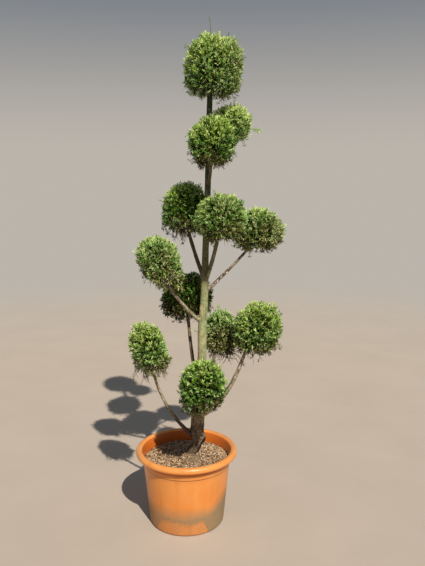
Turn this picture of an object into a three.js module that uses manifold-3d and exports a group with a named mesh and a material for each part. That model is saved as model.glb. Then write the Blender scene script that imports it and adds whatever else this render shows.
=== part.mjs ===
// A cloud-pruned conifer, clipped into twelve pompons, growing in a round terracotta-coloured pot.
// Units are millimetres and +Z is up. The origin is the centre of the pot's flat underside.
// +X is the plant's right as its front is seen, and +Y points away from the viewer.
import * as THREE from "three";
import { mergeVertices } from "three/addons/utils/BufferGeometryUtils.js";
import Module from "manifold-3d";

const wasm = await Module();
wasm.setup();

// Driving dimensions

const CLEARANCE = 0.3; // the air gap that keeps two touching pieces apart

const POT = {
  height: 340,
  rim: 225, // outer radius of the rolled lip
  lip: 15, // radius of the lip's rounded edge
  neck: 26, // how far below the top the lip's underside meets the band under it
  collar: 194, // outer radius of that band
  collarDrop: 36, // how far the band reaches below the lip
  step: 2.5, // how far the band stands proud of the wall
  base: 167,
  wall: 4.5,
  floor: 7,
  heel: 10, // radius of the rounded bottom edge
  holes: 6, // drain holes, in a ring round the floor
  holeRadius: 8,
  holeRing: 118,
  holeSides: 10,
  sides: 40,
};

const MIX = {
  level: 296, // height of the potting mix around the trunk
  plateau: 112, // radius of the level middle that the trunk stands on
  fall: 7, // how much lower the mix lies at the pot's wall
  lumps: 3,
  lumpPitch: [107, 145], // distance from lump to lump, sideways and front to back
};

// The trunk stands a little off the pot's centre. Its foot sweeps in from the left, and it leans to the right
// as it rises. Each station is a height above the potting mix, a sideways drift and a diameter.
const TRUNK = {
  foot: { x: 52, y: 40 },
  stations: [
    { rise: -40, drift: -40, diameter: 53 },
    { rise: 0, drift: -20, diameter: 53 },
    { rise: 28, drift: -6, diameter: 55 },
    { rise: 58, drift: 4, diameter: 60 },
    { rise: 90, drift: 0, diameter: 58 },
    { rise: 135, drift: -3, diameter: 60 },
    { rise: 200, drift: 0, diameter: 57 },
    { rise: 300, drift: 7, diameter: 48 },
    { rise: 440, drift: 17, diameter: 40 },
    { rise: 575, drift: 20, diameter: 38 },
    { rise: 710, drift: 28, diameter: 34 },
    { rise: 930, drift: 35, diameter: 28 },
    { rise: 1190, drift: 44, diameter: 26 },
    { rise: 1440, drift: 50, diameter: 25 },
    { rise: 1566, drift: 53, diameter: 23 },
  ],
  flare: 0.26, // extra radius of the root flare, as a share
  flareHeight: 26,
  roots: 5,
  sides: 10,
  steps: 24,
  crowding: 1.5, // draws the steps together towards the gnarled foot
};

const BOUGH = {
  sides: 7,
  steps: 7,
  collar: 0.45, // extra radius where it leaves the trunk, as a share
  collarLength: 16,
  end: 0.97, // how far it stops below the pompon's centre, as a share of the outline
};

// One entry for each pompon. bearing is its direction from the trunk in degrees, 0 to the right and 90 away
// from the viewer, and reach its distance. height is its centre's, wide and tall are its half sizes, and
// lean is how far its top tips outwards. forks is the height where its bough leaves the trunk, bend how far
// out and up the bough's elbow lies as shares of the way, inset how far inside the centre the bough enters,
// and girth the bough's radius at its root and tip. lobe points at a bulge that the shears left.
const POMPONS = [
  { name: "low_left", bearing: -167, reach: 229, height: 788, wide: 80, tall: 125, lean: 18,
    forks: 352, bend: [0.74, 0.4], inset: 16, girth: [9.5, 5.5] },
  { name: "low_right", bearing: -9, reach: 243, height: 877, wide: 103, tall: 121, lean: 8,
    forks: 468, bend: [0.64, 0.2], inset: 54, girth: [12.5, 7], lobe: [10, 60] },
  { name: "low_front", bearing: -87.5, reach: 260, height: 692, wide: 99, tall: 110, lean: 0,
    forks: 530, bend: [0.5, 0.45], inset: 34, girth: [11, 8] },
  { name: "low_back_right", bearing: 54, reach: 140, height: 824, wide: 84, tall: 108, lean: 0,
    forks: 566, bend: [0.72, 0.35], inset: 48, girth: [8.5, 6.5] },
  { name: "mid_back_left", bearing: 121, reach: 152, height: 992, wide: 115, tall: 108, lean: 0,
    forks: 580, bend: [0.6, 0.28], inset: 8, girth: [8.5, 7] },
  { name: "mid_left", bearing: -157, reach: 211, height: 1182, wide: 92, tall: 114, lean: 30,
    forks: 900, bend: [0.68, 0.5], inset: 42, girth: [8.5, 7], lobe: [10, -42] },
  { name: "up_right", bearing: 9, reach: 222, height: 1307, wide: 108, tall: 97, lean: 0,
    forks: 1036, bend: [0.55, 0.5], inset: 42, girth: [8, 5.5], lobe: [200, -45] },
  { name: "up_front", bearing: -62, reach: 130, height: 1366, wide: 105, tall: 105, lean: 0,
    forks: 1082, bend: [0.5, 0.35], inset: 36, girth: [9.5, 7.5] },
  { name: "up_back_left", bearing: 141, reach: 124, height: 1396, wide: 99, tall: 120, lean: 0,
    forks: 1092, bend: [0.5, 0.4], inset: 24, girth: [9, 7.5] },
  { name: "high_front", bearing: -84, reach: 122, height: 1668, wide: 97, tall: 106, lean: 0,
    forks: 1504, bend: [0.7, 0.3], inset: 34, girth: [7.5, 6] },
  { name: "high_back_right", bearing: 34, reach: 113, height: 1752, wide: 83, tall: 89, lean: 0,
    forks: 1590, bend: [0.66, 0.35], inset: 26, girth: [7.5, 6],
    stray: { bearing: 0, climb: -11, length: 52 } },
  { name: "top", bearing: 0, reach: 18, height: 1971, wide: 116, tall: 129, lean: 0, boxy: 2.5,
    lobe: [-20, 40], stray: { bearing: 180, climb: 84.5, length: 70 } },
];

const CLOUD = {
  lumps: 8, // bulges on each pompon's outline
  lumpHeight: 0.07,
  lobeHeight: 0.12,
  lumpSharpness: 7,
  core: 0.85, // the dense heart that the sprays stand out of, as a share of the outline
  coreDetail: 2,
  bareBelow: -0.8, // the clipped underside, where twigs show
  bareCore: 0.8, // how far the heart reaches there
  sprays: 18,
  twigs: 3,
  twigClimb: [-32, -44],
  twigReach: 0.92,
  twigRadius: [2.2, 1.3],
  shootRadius: [2, 0.7],
  stemSides: 6,
};

// A spray's root and tip are shares of the outline. Its shoulder, notch and ridge are shares of its length.
const SPRAY = {
  root: 0.6,
  tip: [0.98, 1.05],
  width: 46,
  thickness: 5,
  shoulder: 0.76,
  notch: 0.68,
  notchWidth: 14,
  ridge: 0.45,
  wander: 0.18,
  room: 28, // how far its tip keeps from any limb
};

// Materials

const material = (color, roughness) => new THREE.MeshStandardMaterial({ color, roughness, metalness: 0 });
const terracottaPlastic = material("#e48a47", 0.5);
const pottingMix = material("#7d6049", 0.95);
const bark = material("#857c58", 0.9);
const foliage = material("#5d7a2b", 0.8);

// Helpers

const TURN = 2 * Math.PI;
const GOLDEN_TURN = 0.381966 * TURN; // the turn between neighbours on an even spiral
const UP = new THREE.Vector3(0, 0, 1);
const ALONG_BLADE = new THREE.Vector3(0, 1, 0);
const radians = THREE.MathUtils.degToRad;
const lerp = THREE.MathUtils.lerp;

// A repeatable stream of numbers from 0 to 1.
function seeded(seed) {
  let state = seed >>> 0;
  return () => {
    state = (state + 0x6d2b79f5) >>> 0;
    let mixed = Math.imul(state ^ (state >>> 15), state | 1);
    mixed ^= mixed + Math.imul(mixed ^ (mixed >>> 7), mixed | 61);
    return ((mixed ^ (mixed >>> 14)) >>> 0) / 4294967296;
  };
}

// A unit vector at a bearing and a climb above the horizon, both in degrees.
function heading(bearing, climb = 0) {
  const level = Math.cos(radians(climb));
  const turn = radians(bearing);
  return new THREE.Vector3(level * Math.cos(turn), level * Math.sin(turn), Math.sin(radians(climb)));
}

// A closed three.js geometry as a solid that can be joined and cut.
function toSolid(geometry) {
  const bare = geometry.clone();
  for (const attribute of ["normal", "uv"]) bare.deleteAttribute(attribute);
  const merged = mergeVertices(bare, 1e-3);
  return new wasm.Manifold(
    new wasm.Mesh({
      numProp: 3,
      vertProperties: merged.attributes.position.array,
      triVerts: new Uint32Array(merged.index.array),
    }),
  );
}

// A solid as a named mesh. A loose scrap that a cut left behind is dropped.
function toMesh(name, solid, finish) {
  const [whole] = solid.decompose().sort((a, b) => b.volume() - a.volume());
  const { numProp, numVert, vertProperties, triVerts } = whole.getMesh();
  const corners = new Float32Array(numVert * 3);
  for (let i = 0; i < numVert; i++) {
    corners.set(vertProperties.subarray(i * numProp, i * numProp + 3), i * 3);
  }
  const geometry = new THREE.BufferGeometry();
  geometry.setAttribute("position", new THREE.BufferAttribute(corners, 3));
  geometry.setIndex(new THREE.BufferAttribute(triVerts, 1));
  geometry.computeVertexNormals();
  const mesh = new THREE.Mesh(geometry, finish);
  mesh.name = name;
  return mesh;
}

// Turns a half section of [radius, height] points about +Z.
function turned(section, sides) {
  const points = section.map(([radius, height]) => new THREE.Vector2(radius, height));
  return new THREE.LatheGeometry(points, sides).rotateX(Math.PI / 2);
}

// The curve's centre and three square directions at each share of its length, without a sudden twist.
function framesAlong(curve, shares) {
  const start = curve.getTangentAt(0);
  let side = new THREE.Vector3(1, 0, 0);
  if (Math.abs(start.x) > 0.7) side.set(0, 1, 0);
  return shares.map((share) => {
    const along = curve.getTangentAt(share);
    side = side.clone().addScaledVector(along, -side.dot(along)).normalize();
    const across = new THREE.Vector3().crossVectors(side, along);
    return { centre: curve.getPointAt(share), along, side, across };
  });
}

// A tapering limb: a cylinder bent along a curve. radiusAt takes the share of the length and the angle.
// grow swells it on all sides, which gives the space that other pieces keep out of.
function limb(curve, radiusAt, { sides, steps, crowding = 1, grow = 0 }) {
  const geometry = new THREE.CylinderGeometry(1, 1, 1, sides, steps);
  const shares = Array.from({ length: steps + 1 }, (_, step) => (step / steps) ** crowding);
  const frames = framesAlong(curve, shares);
  const position = geometry.attributes.position;
  const corner = new THREE.Vector3();
  for (let i = 0; i < position.count; i++) {
    corner.fromBufferAttribute(position, i);
    const step = Math.round((corner.y + 0.5) * steps);
    const { centre, along, side, across } = frames[step];
    const onAxis = Math.hypot(corner.x, corner.z) < 0.5;
    const radius = onAxis ? 0 : radiusAt(shares[step], Math.atan2(corner.x, corner.z)) + grow;
    const end = step === 0 ? -grow : step === steps ? grow : 0;
    const placed = centre
      .clone()
      .addScaledVector(along, end)
      .addScaledVector(side, corner.x * radius)
      .addScaledVector(across, corner.z * radius);
    position.setXYZ(i, placed.x, placed.y, placed.z);
  }
  return geometry;
}

// Pot

// Points of a half section on an arc about [radius, height].
function arc(radius, height, bend, degrees) {
  return degrees.map((turn) => [
    radius + bend * Math.cos(radians(turn)),
    height + bend * Math.sin(radians(turn)),
  ]);
}

function pot() {
  const { height, rim, lip, neck, collar, collarDrop, step, base, wall, floor, heel, sides } = POT;
  const stepHeight = height - 2 * lip - collarDrop;
  const section = [
    [0, 0],
    ...arc(base - heel, heel, heel, [-90, -45, 0]),
    [collar - step, stepHeight - 2 * step],
    [collar, stepHeight],
    [collar, height - neck],
    ...arc(rim - lip, height - lip, lip, [-105, -52, 0, 45, 90, 125, 160]),
    [collar - wall, height - 2 * lip],
    [base - wall, floor + heel],
    [base - heel - wall, floor],
    [0, floor],
  ];
  let solid = toSolid(turned(section, sides));
  for (let i = 0; i < POT.holes; i++) {
    const drill = new THREE.CylinderGeometry(POT.holeRadius, POT.holeRadius, 4 * floor, POT.holeSides);
    drill.rotateX(Math.PI / 2);
    drill.translate(...heading((360 * i) / POT.holes).multiplyScalar(POT.holeRing).toArray());
    solid = solid.subtract(toSolid(drill));
  }
  return toMesh("pot", solid, terracottaPlastic);
}

// Radius of the pot's inner wall at a height.
function innerRadius(height) {
  const { base, wall, floor, heel, collar, lip } = POT;
  const share = (height - floor - heel) / (POT.height - 2 * lip - floor - heel);
  return lerp(base, collar, share) - wall;
}

// Potting mix: it fills the pot to below the lip, level round the trunk and lumpy towards the wall.
function pottingFill() {
  const { level, plateau, fall, lumps, lumpPitch } = MIX;
  const { floor, heel, base, wall } = POT;
  const edge = innerRadius(level - fall) - CLEARANCE;
  const section = [
    [0, floor + CLEARANCE],
    [base - heel - wall - CLEARANCE, floor + CLEARANCE],
    [base - wall - CLEARANCE, floor + heel + CLEARANCE],
    [edge, level - fall],
    [lerp(edge, plateau, 0.5), level - 0.25 * fall],
    [plateau, level],
    [0, level],
  ];
  const geometry = turned(section, POT.sides);
  const position = geometry.attributes.position;
  for (let i = 0; i < position.count; i++) {
    const [x, y, z] = [position.getX(i), position.getY(i), position.getZ(i)];
    const radius = Math.hypot(x, y);
    if (z > level - fall - 1 && radius > plateau + 1 && radius < edge - 1) {
      const lump = Math.sin((TURN * x) / lumpPitch[0]) * Math.cos((TURN * y) / lumpPitch[1]);
      position.setZ(i, z + lumps * lump);
    }
  }
  return toMesh("potting_mix", toSolid(geometry), pottingMix);
}

// Trunk

function trunkPoint({ rise, drift }) {
  return new THREE.Vector3(TRUNK.foot.x + drift, TRUNK.foot.y, MIX.level + rise);
}

const trunkCurve = new THREE.CatmullRomCurve3(TRUNK.stations.map(trunkPoint));
const trunkBottom = TRUNK.stations[0].rise;
const trunkTop = TRUNK.stations.at(-1).rise;

// The trunk's sideways drift and diameter at a height above the potting mix.
function trunkStation(rise) {
  const above = Math.max(1, TRUNK.stations.findIndex((station) => station.rise >= rise));
  const [lower, upper] = [TRUNK.stations[above - 1], TRUNK.stations[above]];
  const share = (rise - lower.rise) / (upper.rise - lower.rise);
  const drift = lerp(lower.drift, upper.drift, share);
  return { rise, drift, diameter: lerp(lower.diameter, upper.diameter, share) };
}

// The trunk's centre at a height above the ground.
function trunkAt(height) {
  return trunkPoint(trunkStation(Math.min(height - MIX.level, trunkTop)));
}

function trunkRadius(share, angle) {
  const { flare, flareHeight, roots } = TRUNK;
  const rise = lerp(trunkBottom, trunkTop, Math.min(share, 0.9999));
  const spread = flare * Math.exp(-Math.max(rise, 0) / flareHeight) * (1 + 0.4 * Math.cos(roots * angle));
  return 0.5 * trunkStation(rise).diameter * (1 + spread);
}

// The trunk's foot is cut flat where it meets the potting mix.
function trunk() {
  const whole = toSolid(limb(trunkCurve, trunkRadius, TRUNK));
  return toMesh("trunk", whole.trimByPlane([0, 0, 1], MIX.level + CLEARANCE), bark);
}

// Pompon outlines

for (const [index, cloud] of POMPONS.entries()) {
  const random = seeded(101 + index);
  cloud.random = random;
  cloud.out = heading(cloud.bearing);
  cloud.centre = trunkAt(cloud.height).addScaledVector(cloud.out, cloud.reach).setZ(cloud.height);
  const hinge = new THREE.Vector3().crossVectors(UP, cloud.out);
  cloud.upright = new THREE.Quaternion().setFromAxisAngle(hinge, -radians(cloud.lean));
  cloud.bulges = Array.from({ length: CLOUD.lumps }, () =>
    heading(360 * random(), THREE.MathUtils.radToDeg(Math.asin(2 * random() - 1))),
  );
}

// Distance from a pompon's centre to its outline along a unit vector.
function outline(cloud, direction) {
  const { x, y, z } = direction.clone().applyQuaternion(cloud.upright);
  const power = cloud.boxy ?? 2;
  const level = Math.hypot(x, y) / cloud.wide;
  const round = (level ** power + Math.abs(z / cloud.tall) ** power) ** (-1 / power);
  let swell = 1 - 0.5 * CLOUD.lumpHeight;
  for (const bulge of cloud.bulges) {
    swell += CLOUD.lumpHeight * Math.exp(CLOUD.lumpSharpness * (bulge.dot(direction) - 1));
  }
  if (cloud.lobe) {
    const near = heading(...cloud.lobe).dot(direction) - 1;
    swell += CLOUD.lobeHeight * Math.exp(CLOUD.lumpSharpness * near);
  }
  return round * swell;
}

// The point on a ray out of a pompon's centre at a share of the way to its outline.
function pointOut(cloud, direction, share) {
  return cloud.centre.clone().addScaledVector(direction, share * outline(cloud, direction));
}

function insideCloud(cloud, point) {
  const offset = point.clone().sub(cloud.centre);
  const distance = offset.length();
  return distance < outline(cloud, offset.normalize());
}

// Boughs: each leaves the trunk, bends at its elbow and ends just under its pompon.

function boughCurve(cloud) {
  const root = trunkAt(cloud.forks);
  const under = Math.sqrt(1 - (cloud.inset / cloud.wide) ** 2);
  const tip = cloud.centre.clone().addScaledVector(cloud.out, -cloud.inset);
  tip.z -= cloud.tall * under * BOUGH.end;
  const elbow = root.clone().lerp(tip, cloud.bend[0]);
  elbow.z = lerp(root.z, tip.z, cloud.bend[1]);
  return new THREE.QuadraticBezierCurve3(root, elbow, tip);
}

function boughGeometry(cloud, grow) {
  const [rootRadius, tipRadius] = cloud.girth;
  const length = cloud.bough.getLength();
  const radiusAt = (share) => {
    const collar = 1 + BOUGH.collar * Math.exp((-share * length) / BOUGH.collarLength);
    return lerp(rootRadius, tipRadius, share) * collar;
  };
  return limb(cloud.bough, radiusAt, { ...BOUGH, grow });
}

const carried = POMPONS.filter((cloud) => cloud.forks);
for (const cloud of carried) cloud.bough = boughCurve(cloud);

const trunkSpace = toSolid(limb(trunkCurve, trunkRadius, { ...TRUNK, grow: CLEARANCE }));
const limbSpace = wasm.Manifold.union([
  trunkSpace,
  ...carried.map((cloud) => toSolid(boughGeometry(cloud, CLEARANCE))),
]);

// Points along every limb with its radius there, for keeping sprays off the wood.
const trunkMarks = 80;
const boughMarks = 24;
const limbMarks = [];
for (const [i, at] of trunkCurve.getSpacedPoints(trunkMarks).entries()) {
  limbMarks.push({ at, radius: trunkRadius(i / trunkMarks, 0) });
}
for (const cloud of carried) {
  for (const at of cloud.bough.getSpacedPoints(boughMarks)) limbMarks.push({ at, radius: cloud.girth[0] });
}

// Pompons: a dense heart on a forked stem, with toothed sprays of foliage standing out of it.

function heart(cloud) {
  const geometry = new THREE.IcosahedronGeometry(1, CLOUD.coreDetail);
  const position = geometry.attributes.position;
  const direction = new THREE.Vector3();
  for (let i = 0; i < position.count; i++) {
    direction.fromBufferAttribute(position, i).normalize();
    const placed = pointOut(cloud, direction, direction.z < CLOUD.bareBelow ? CLOUD.bareCore : CLOUD.core);
    position.setXYZ(i, placed.x, placed.y, placed.z);
  }
  return geometry;
}

// A spray is a thin blade with three teeth, thickest at its middle. It lies along +Y from its root.
function sprayBlade(length) {
  const [wide, thick, narrow] = [SPRAY.width / 2, SPRAY.thickness / 2, SPRAY.notchWidth / 2];
  const rim = [
    [0, 0, 0],
    [wide, SPRAY.shoulder * length, -thick],
    [narrow, SPRAY.notch * length, 0],
    [0, length, 0],
    [-narrow, SPRAY.notch * length, 0],
    [-wide, SPRAY.shoulder * length, thick],
  ];
  const ridge = [[0, SPRAY.ridge * length, thick], [0, SPRAY.ridge * length, -thick]];
  const geometry = new THREE.BufferGeometry();
  geometry.setAttribute("position", new THREE.Float32BufferAttribute([...rim, ...ridge].flat(), 3));
  const faces = [];
  for (let i = 0; i < rim.length; i++) {
    const next = (i + 1) % rim.length;
    faces.push(i, next, rim.length, next, i, rim.length + 1);
  }
  geometry.setIndex(faces);
  return geometry;
}

// True where a point is clear of all wood and of every other pompon.
function isFree(cloud, point, margin) {
  const offWood = limbMarks.every(({ at, radius }) => at.distanceTo(point) > radius + margin);
  return offWood && POMPONS.every((other) => other === cloud || !insideCloud(other, point));
}

function sprays(cloud) {
  const { random } = cloud;
  const made = [];
  for (let i = 0; i < CLOUD.sprays; i++) {
    // A spiral spreads the sprays evenly over the pompon, down to its bare underside.
    const climb = 1 - ((i + 0.5) / CLOUD.sprays) * (1 - CLOUD.bareBelow);
    const turn = i * GOLDEN_TURN + 0.5 * random();
    const level = Math.sqrt(1 - climb * climb);
    const inner = new THREE.Vector3(level * Math.cos(turn), level * Math.sin(turn), climb);
    const wander = heading(360 * random(), 180 * random() - 90);
    const outer = inner.clone().addScaledVector(wander, SPRAY.wander).normalize();
    const root = pointOut(cloud, inner, SPRAY.root);
    const tip = pointOut(cloud, outer, lerp(...SPRAY.tip, random()));
    if (!isFree(cloud, tip, SPRAY.room) || !isFree(cloud, root, 0)) continue;
    const along = tip.clone().sub(root);
    const aim = new THREE.Quaternion().setFromUnitVectors(ALONG_BLADE, along.clone().normalize());
    const blade = sprayBlade(along.length()).rotateY(TURN * random());
    made.push(blade.applyQuaternion(aim).translate(root.x, root.y, root.z));
  }
  return made;
}

const straight = (from, to) => new THREE.LineCurve3(from, to);

// A three-sided twig that tapers from its root to its tip.
function thinTwig(root, tip, [thick, thin]) {
  return limb(straight(root, tip), (share) => lerp(thick, thin, share), { sides: 3, steps: 1 });
}

// The stem carries on from the bough's tip, or the trunk's, and forks into twigs under the heart.
function stemAndTwigs(cloud) {
  const { random, centre } = cloud;
  const below = cloud.bough ? cloud.bough.getPointAt(1) : trunkCurve.getPointAt(1);
  const radius = cloud.bough ? cloud.girth[1] : 0.5 * TRUNK.stations.at(-1).diameter;
  const stem = limb(straight(below, centre), () => radius, { sides: CLOUD.stemSides, steps: 1 });
  const made = [stem];
  for (let i = 0; i < CLOUD.twigs; i++) {
    const out = heading((360 * (i + 0.6 * random())) / CLOUD.twigs, lerp(...CLOUD.twigClimb, random()));
    const root = below.clone().lerp(centre, (i + 1) / (2 * CLOUD.twigs));
    made.push(thinTwig(root, pointOut(cloud, out, CLOUD.twigReach), CLOUD.twigRadius));
  }
  return made;
}

// A long soft shoot that grew after the last clipping.
function strayShoot(cloud) {
  if (!cloud.stray) return [];
  const { bearing, climb, length } = cloud.stray;
  const direction = heading(bearing, climb);
  const root = pointOut(cloud, direction, SPRAY.root);
  const tip = pointOut(cloud, direction, 1).addScaledVector(direction, length);
  return [thinTwig(root, tip, CLOUD.shootRadius)];
}

function pompon(cloud) {
  const pieces = [heart(cloud), ...stemAndTwigs(cloud), ...sprays(cloud), ...strayShoot(cloud)];
  const solid = wasm.Manifold.union(pieces.map(toSolid)).subtract(limbSpace);
  return toMesh("pompon_" + cloud.name, solid, foliage);
}

// Assembly

const topiary = new THREE.Group();
topiary.add(pot(), pottingFill(), trunk());
for (const cloud of carried) {
  const solid = toSolid(boughGeometry(cloud, 0)).subtract(trunkSpace);
  topiary.add(toMesh("bough_" + cloud.name, solid, bark));
}
for (const cloud of POMPONS) topiary.add(pompon(cloud));

export default topiary;
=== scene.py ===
# A cloud-pruned conifer, clipped into twelve pompons, growing in a round terracotta-coloured pot.
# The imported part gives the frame: +Z is up and the origin is the centre of the pot's flat underside.
# Sizes are in millimetres and are turned to metres where a mesh is made.
import math

import bmesh
import bpy
import numpy as np
from mathutils import Matrix, Vector


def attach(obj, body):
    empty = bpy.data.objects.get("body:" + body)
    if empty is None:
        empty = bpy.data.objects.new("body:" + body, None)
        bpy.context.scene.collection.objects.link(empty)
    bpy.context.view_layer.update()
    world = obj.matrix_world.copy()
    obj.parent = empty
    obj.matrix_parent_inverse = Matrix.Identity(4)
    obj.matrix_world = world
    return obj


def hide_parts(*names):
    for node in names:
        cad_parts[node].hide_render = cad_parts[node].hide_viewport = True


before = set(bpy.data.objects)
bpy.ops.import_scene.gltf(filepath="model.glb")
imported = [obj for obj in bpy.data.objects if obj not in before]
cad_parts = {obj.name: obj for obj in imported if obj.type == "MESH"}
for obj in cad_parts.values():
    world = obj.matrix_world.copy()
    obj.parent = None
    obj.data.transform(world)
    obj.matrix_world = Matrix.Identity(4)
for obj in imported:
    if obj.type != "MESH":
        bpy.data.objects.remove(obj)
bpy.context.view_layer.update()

# Camera
# It stands at eye level in front of the plant and a little to its right, and looks slightly down.
# The lens gives the photograph's frame of 425 by 566 pixels its angle of view.

FRAME_HEIGHT = 566  # pixels
FOCAL_LENGTH = 640  # pixels
SENSOR = 36  # millimetres
EYE = (0.1165, -2.695, 1.575)  # metres
LOOKS_DOWN = 10.27  # degrees

lens = bpy.data.cameras.new("camera")
lens.sensor_width = SENSOR
lens.lens = SENSOR * FOCAL_LENGTH / FRAME_HEIGHT
camera = bpy.data.objects.new("camera", lens)
camera.location = EYE
camera.rotation_euler = (math.radians(90 - LOOKS_DOWN), 0, 0)
bpy.context.scene.collection.objects.link(camera)
bpy.context.scene.camera = camera

# Pot
# A nursery and terrace pot of injection-moulded polypropylene, coloured like terracotta. It has a fat
# rolled lip, a band with a fine step under it, a tapered wall, a rounded heel and drain holes in the floor.

MM = 0.001
TURN = 2 * math.pi
POT = {
    "height": 340,
    "rim": 225,
    "lip": 15,
    "neck": 26,
    "collar": 194,
    "collar_drop": 36,
    "step": 2.5,
    "base": 167,
    "wall": 4.5,
    "floor": 7,
    "heel": 10,
    "holes": 6,
    "hole_radius": 8,
    "hole_ring": 118,
}
POT_SIDES = 200
LIP_TURN = (-105, 160)  # where the rolled lip leaves the wall outside and meets it inside, in degrees
LIP_STEPS = 30
HEEL_STEPS = 8
STEP_EDGE = 1.2  # rounding of the fine step's edge
EDGE_MIDDLE = 0.3  # share of that rounding where its middle lies
WALL_ROWS = 14
HOLE_SIDES = 24
ROUND_HOLES = (4, 3)  # how far the flat floor is kept round them, inwards and outwards, in their radii
DRILL_LENGTH = 4  # in thicknesses of the floor
OUT_OF_ROUND = 0.9  # how far the warm, thin rim has moved off a true circle
OVAL_TURN = 0.6  # radians
TERRACOTTA = "#e0893e"
TERRACOTTA_BLEACHED = "#e99d56"
TERRACOTTA_DEEP = "#cd762e"
# The deeper orange of plastic the sun hasn't bleached, used as painted shade inside and under the lip.
TERRACOTTA_UNBLEACHED_PAINTED_SHADE = "#cc6a24"
UNDER_LIP = 302  # middle of the strip that the lip shades
SPLASHED_SOIL = "#8f7c5d"
SMEAR_WANDERS = 0.05  # how far the smear's edges wander, in metres
CLEAN_PATCH_AT = -14  # sideways, the middle of the patch that the smear leaves clean
POT_GRIME = "#6b5238"
# Painted shade: the colour of the thin dark line under the fine step.
STEP_SHADE = "#8a4a1c"
STEP_SHADE_HEIGHT = 273  # height of the painted shade line under the fine step


def linear(shade):
    """An sRGB hex value as a linear colour."""
    parts = [int(shade[i : i + 2], 16) / 255 for i in (1, 3, 5)]
    return [p / 12.92 if p <= 0.04045 else ((p + 0.055) / 1.055) ** 2.4 for p in parts] + [1]


def new_material(name, roughness, shine):
    """A material, its node tree and its surface shader."""
    made = bpy.data.materials.new(name)
    made.use_nodes = True
    surface = made.node_tree.nodes["Principled BSDF"]
    surface.inputs["Roughness"].default_value = roughness
    surface.inputs["Specular IOR Level"].default_value = shine
    return made, made.node_tree, surface


def add(tree, kind, inputs, gives=0, **settings):
    """Adds a node with its settings, and gives one of its outputs.
    Each input is a plain value or another node's output."""
    node = tree.nodes.new("ShaderNode" + kind)
    for setting, value in settings.items():
        setattr(node, setting, value)
    for socket, value in inputs.items():
        if isinstance(value, bpy.types.NodeSocket):
            tree.links.new(value, node.inputs[socket])
        else:
            node.inputs[socket].default_value = value
    return node.outputs[gives]


def repeats(size):
    """The scale that makes a pattern's features this many millimetres across."""
    return 1000 / size


def make_piece(name, points, faces, materials, smooth=True, tints=None):
    """A mesh object from points in millimetres and faces that all have the same number of corners."""
    mesh = bpy.data.meshes.new(name)
    mesh.vertices.add(len(points))
    mesh.vertices.foreach_set("co", (np.asarray(points) * MM).astype(np.float32).ravel())
    mesh.loops.add(faces.size)
    mesh.loops.foreach_set("vertex_index", faces.astype(np.int32).ravel())
    mesh.polygons.add(len(faces))
    mesh.polygons.foreach_set("loop_start", np.arange(0, faces.size, faces.shape[1], dtype=np.int32))
    for material in materials:
        mesh.materials.append(material)
    if tints is not None:
        mesh.polygons.foreach_set("material_index", tints.astype(np.int32))
    mesh.polygons.foreach_set("use_smooth", np.full(len(faces), smooth))
    mesh.update(calc_edges=True)
    made = bpy.data.objects.new(name, mesh)
    bpy.context.scene.collection.objects.link(made)
    return made


def belongs(piece, slot, *nodes):
    """The piece rides with the plant, and these CAD nodes are hidden in its place. The slot is not used."""
    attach(piece, "root")
    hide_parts(*nodes)


def arc(radius, height, bend, start, end, steps):
    """Points of a half section on an arc about (radius, height), between two angles in degrees."""
    angles = np.radians(np.linspace(start, end, steps + 1))
    return [(radius + bend * math.cos(a), height + bend * math.sin(a)) for a in angles]


def stacked_rings(radii, heights, sides):
    """Points of rings about the axis, each row with its radius and its height."""
    angles = np.arange(sides) * TURN / sides
    height = np.repeat(heights[:, None], sides, axis=1)
    rings = [radii[:, None] * np.cos(angles), radii[:, None] * np.sin(angles), height]
    return np.stack(rings, axis=2).reshape(-1, 3)


def faces_between(rings, sides):
    """Triangles that join each ring of points to the next."""
    near = np.arange(sides)
    far = (near + 1) % sides
    row = np.arange(rings - 1)[:, None] * sides
    lower = np.stack([row + near, row + far, row + sides + far], axis=2)
    upper = np.stack([row + near, row + sides + far, row + sides + near], axis=2)
    return np.vstack([lower.reshape(-1, 3), upper.reshape(-1, 3)])


def turned(section, sides):
    """Turns a half section, which starts and ends on the axis, about +Z. Gives points and triangles."""
    rows = np.array(section[1:-1])
    rings = stacked_rings(rows[:, 0], rows[:, 1], sides)
    near = np.arange(sides)
    far = (near + 1) % sides
    first = len(rings)
    last_row = first - sides
    first_fan = np.stack([far, near, np.full(sides, first)], axis=1)
    last_fan = np.stack([last_row + near, last_row + far, np.full(sides, first + 1)], axis=1)
    points = np.vstack([rings, [0, 0, section[0][1]], [0, 0, section[-1][1]]])
    return points, np.vstack([faces_between(len(rows), sides), first_fan, last_fan])


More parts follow.
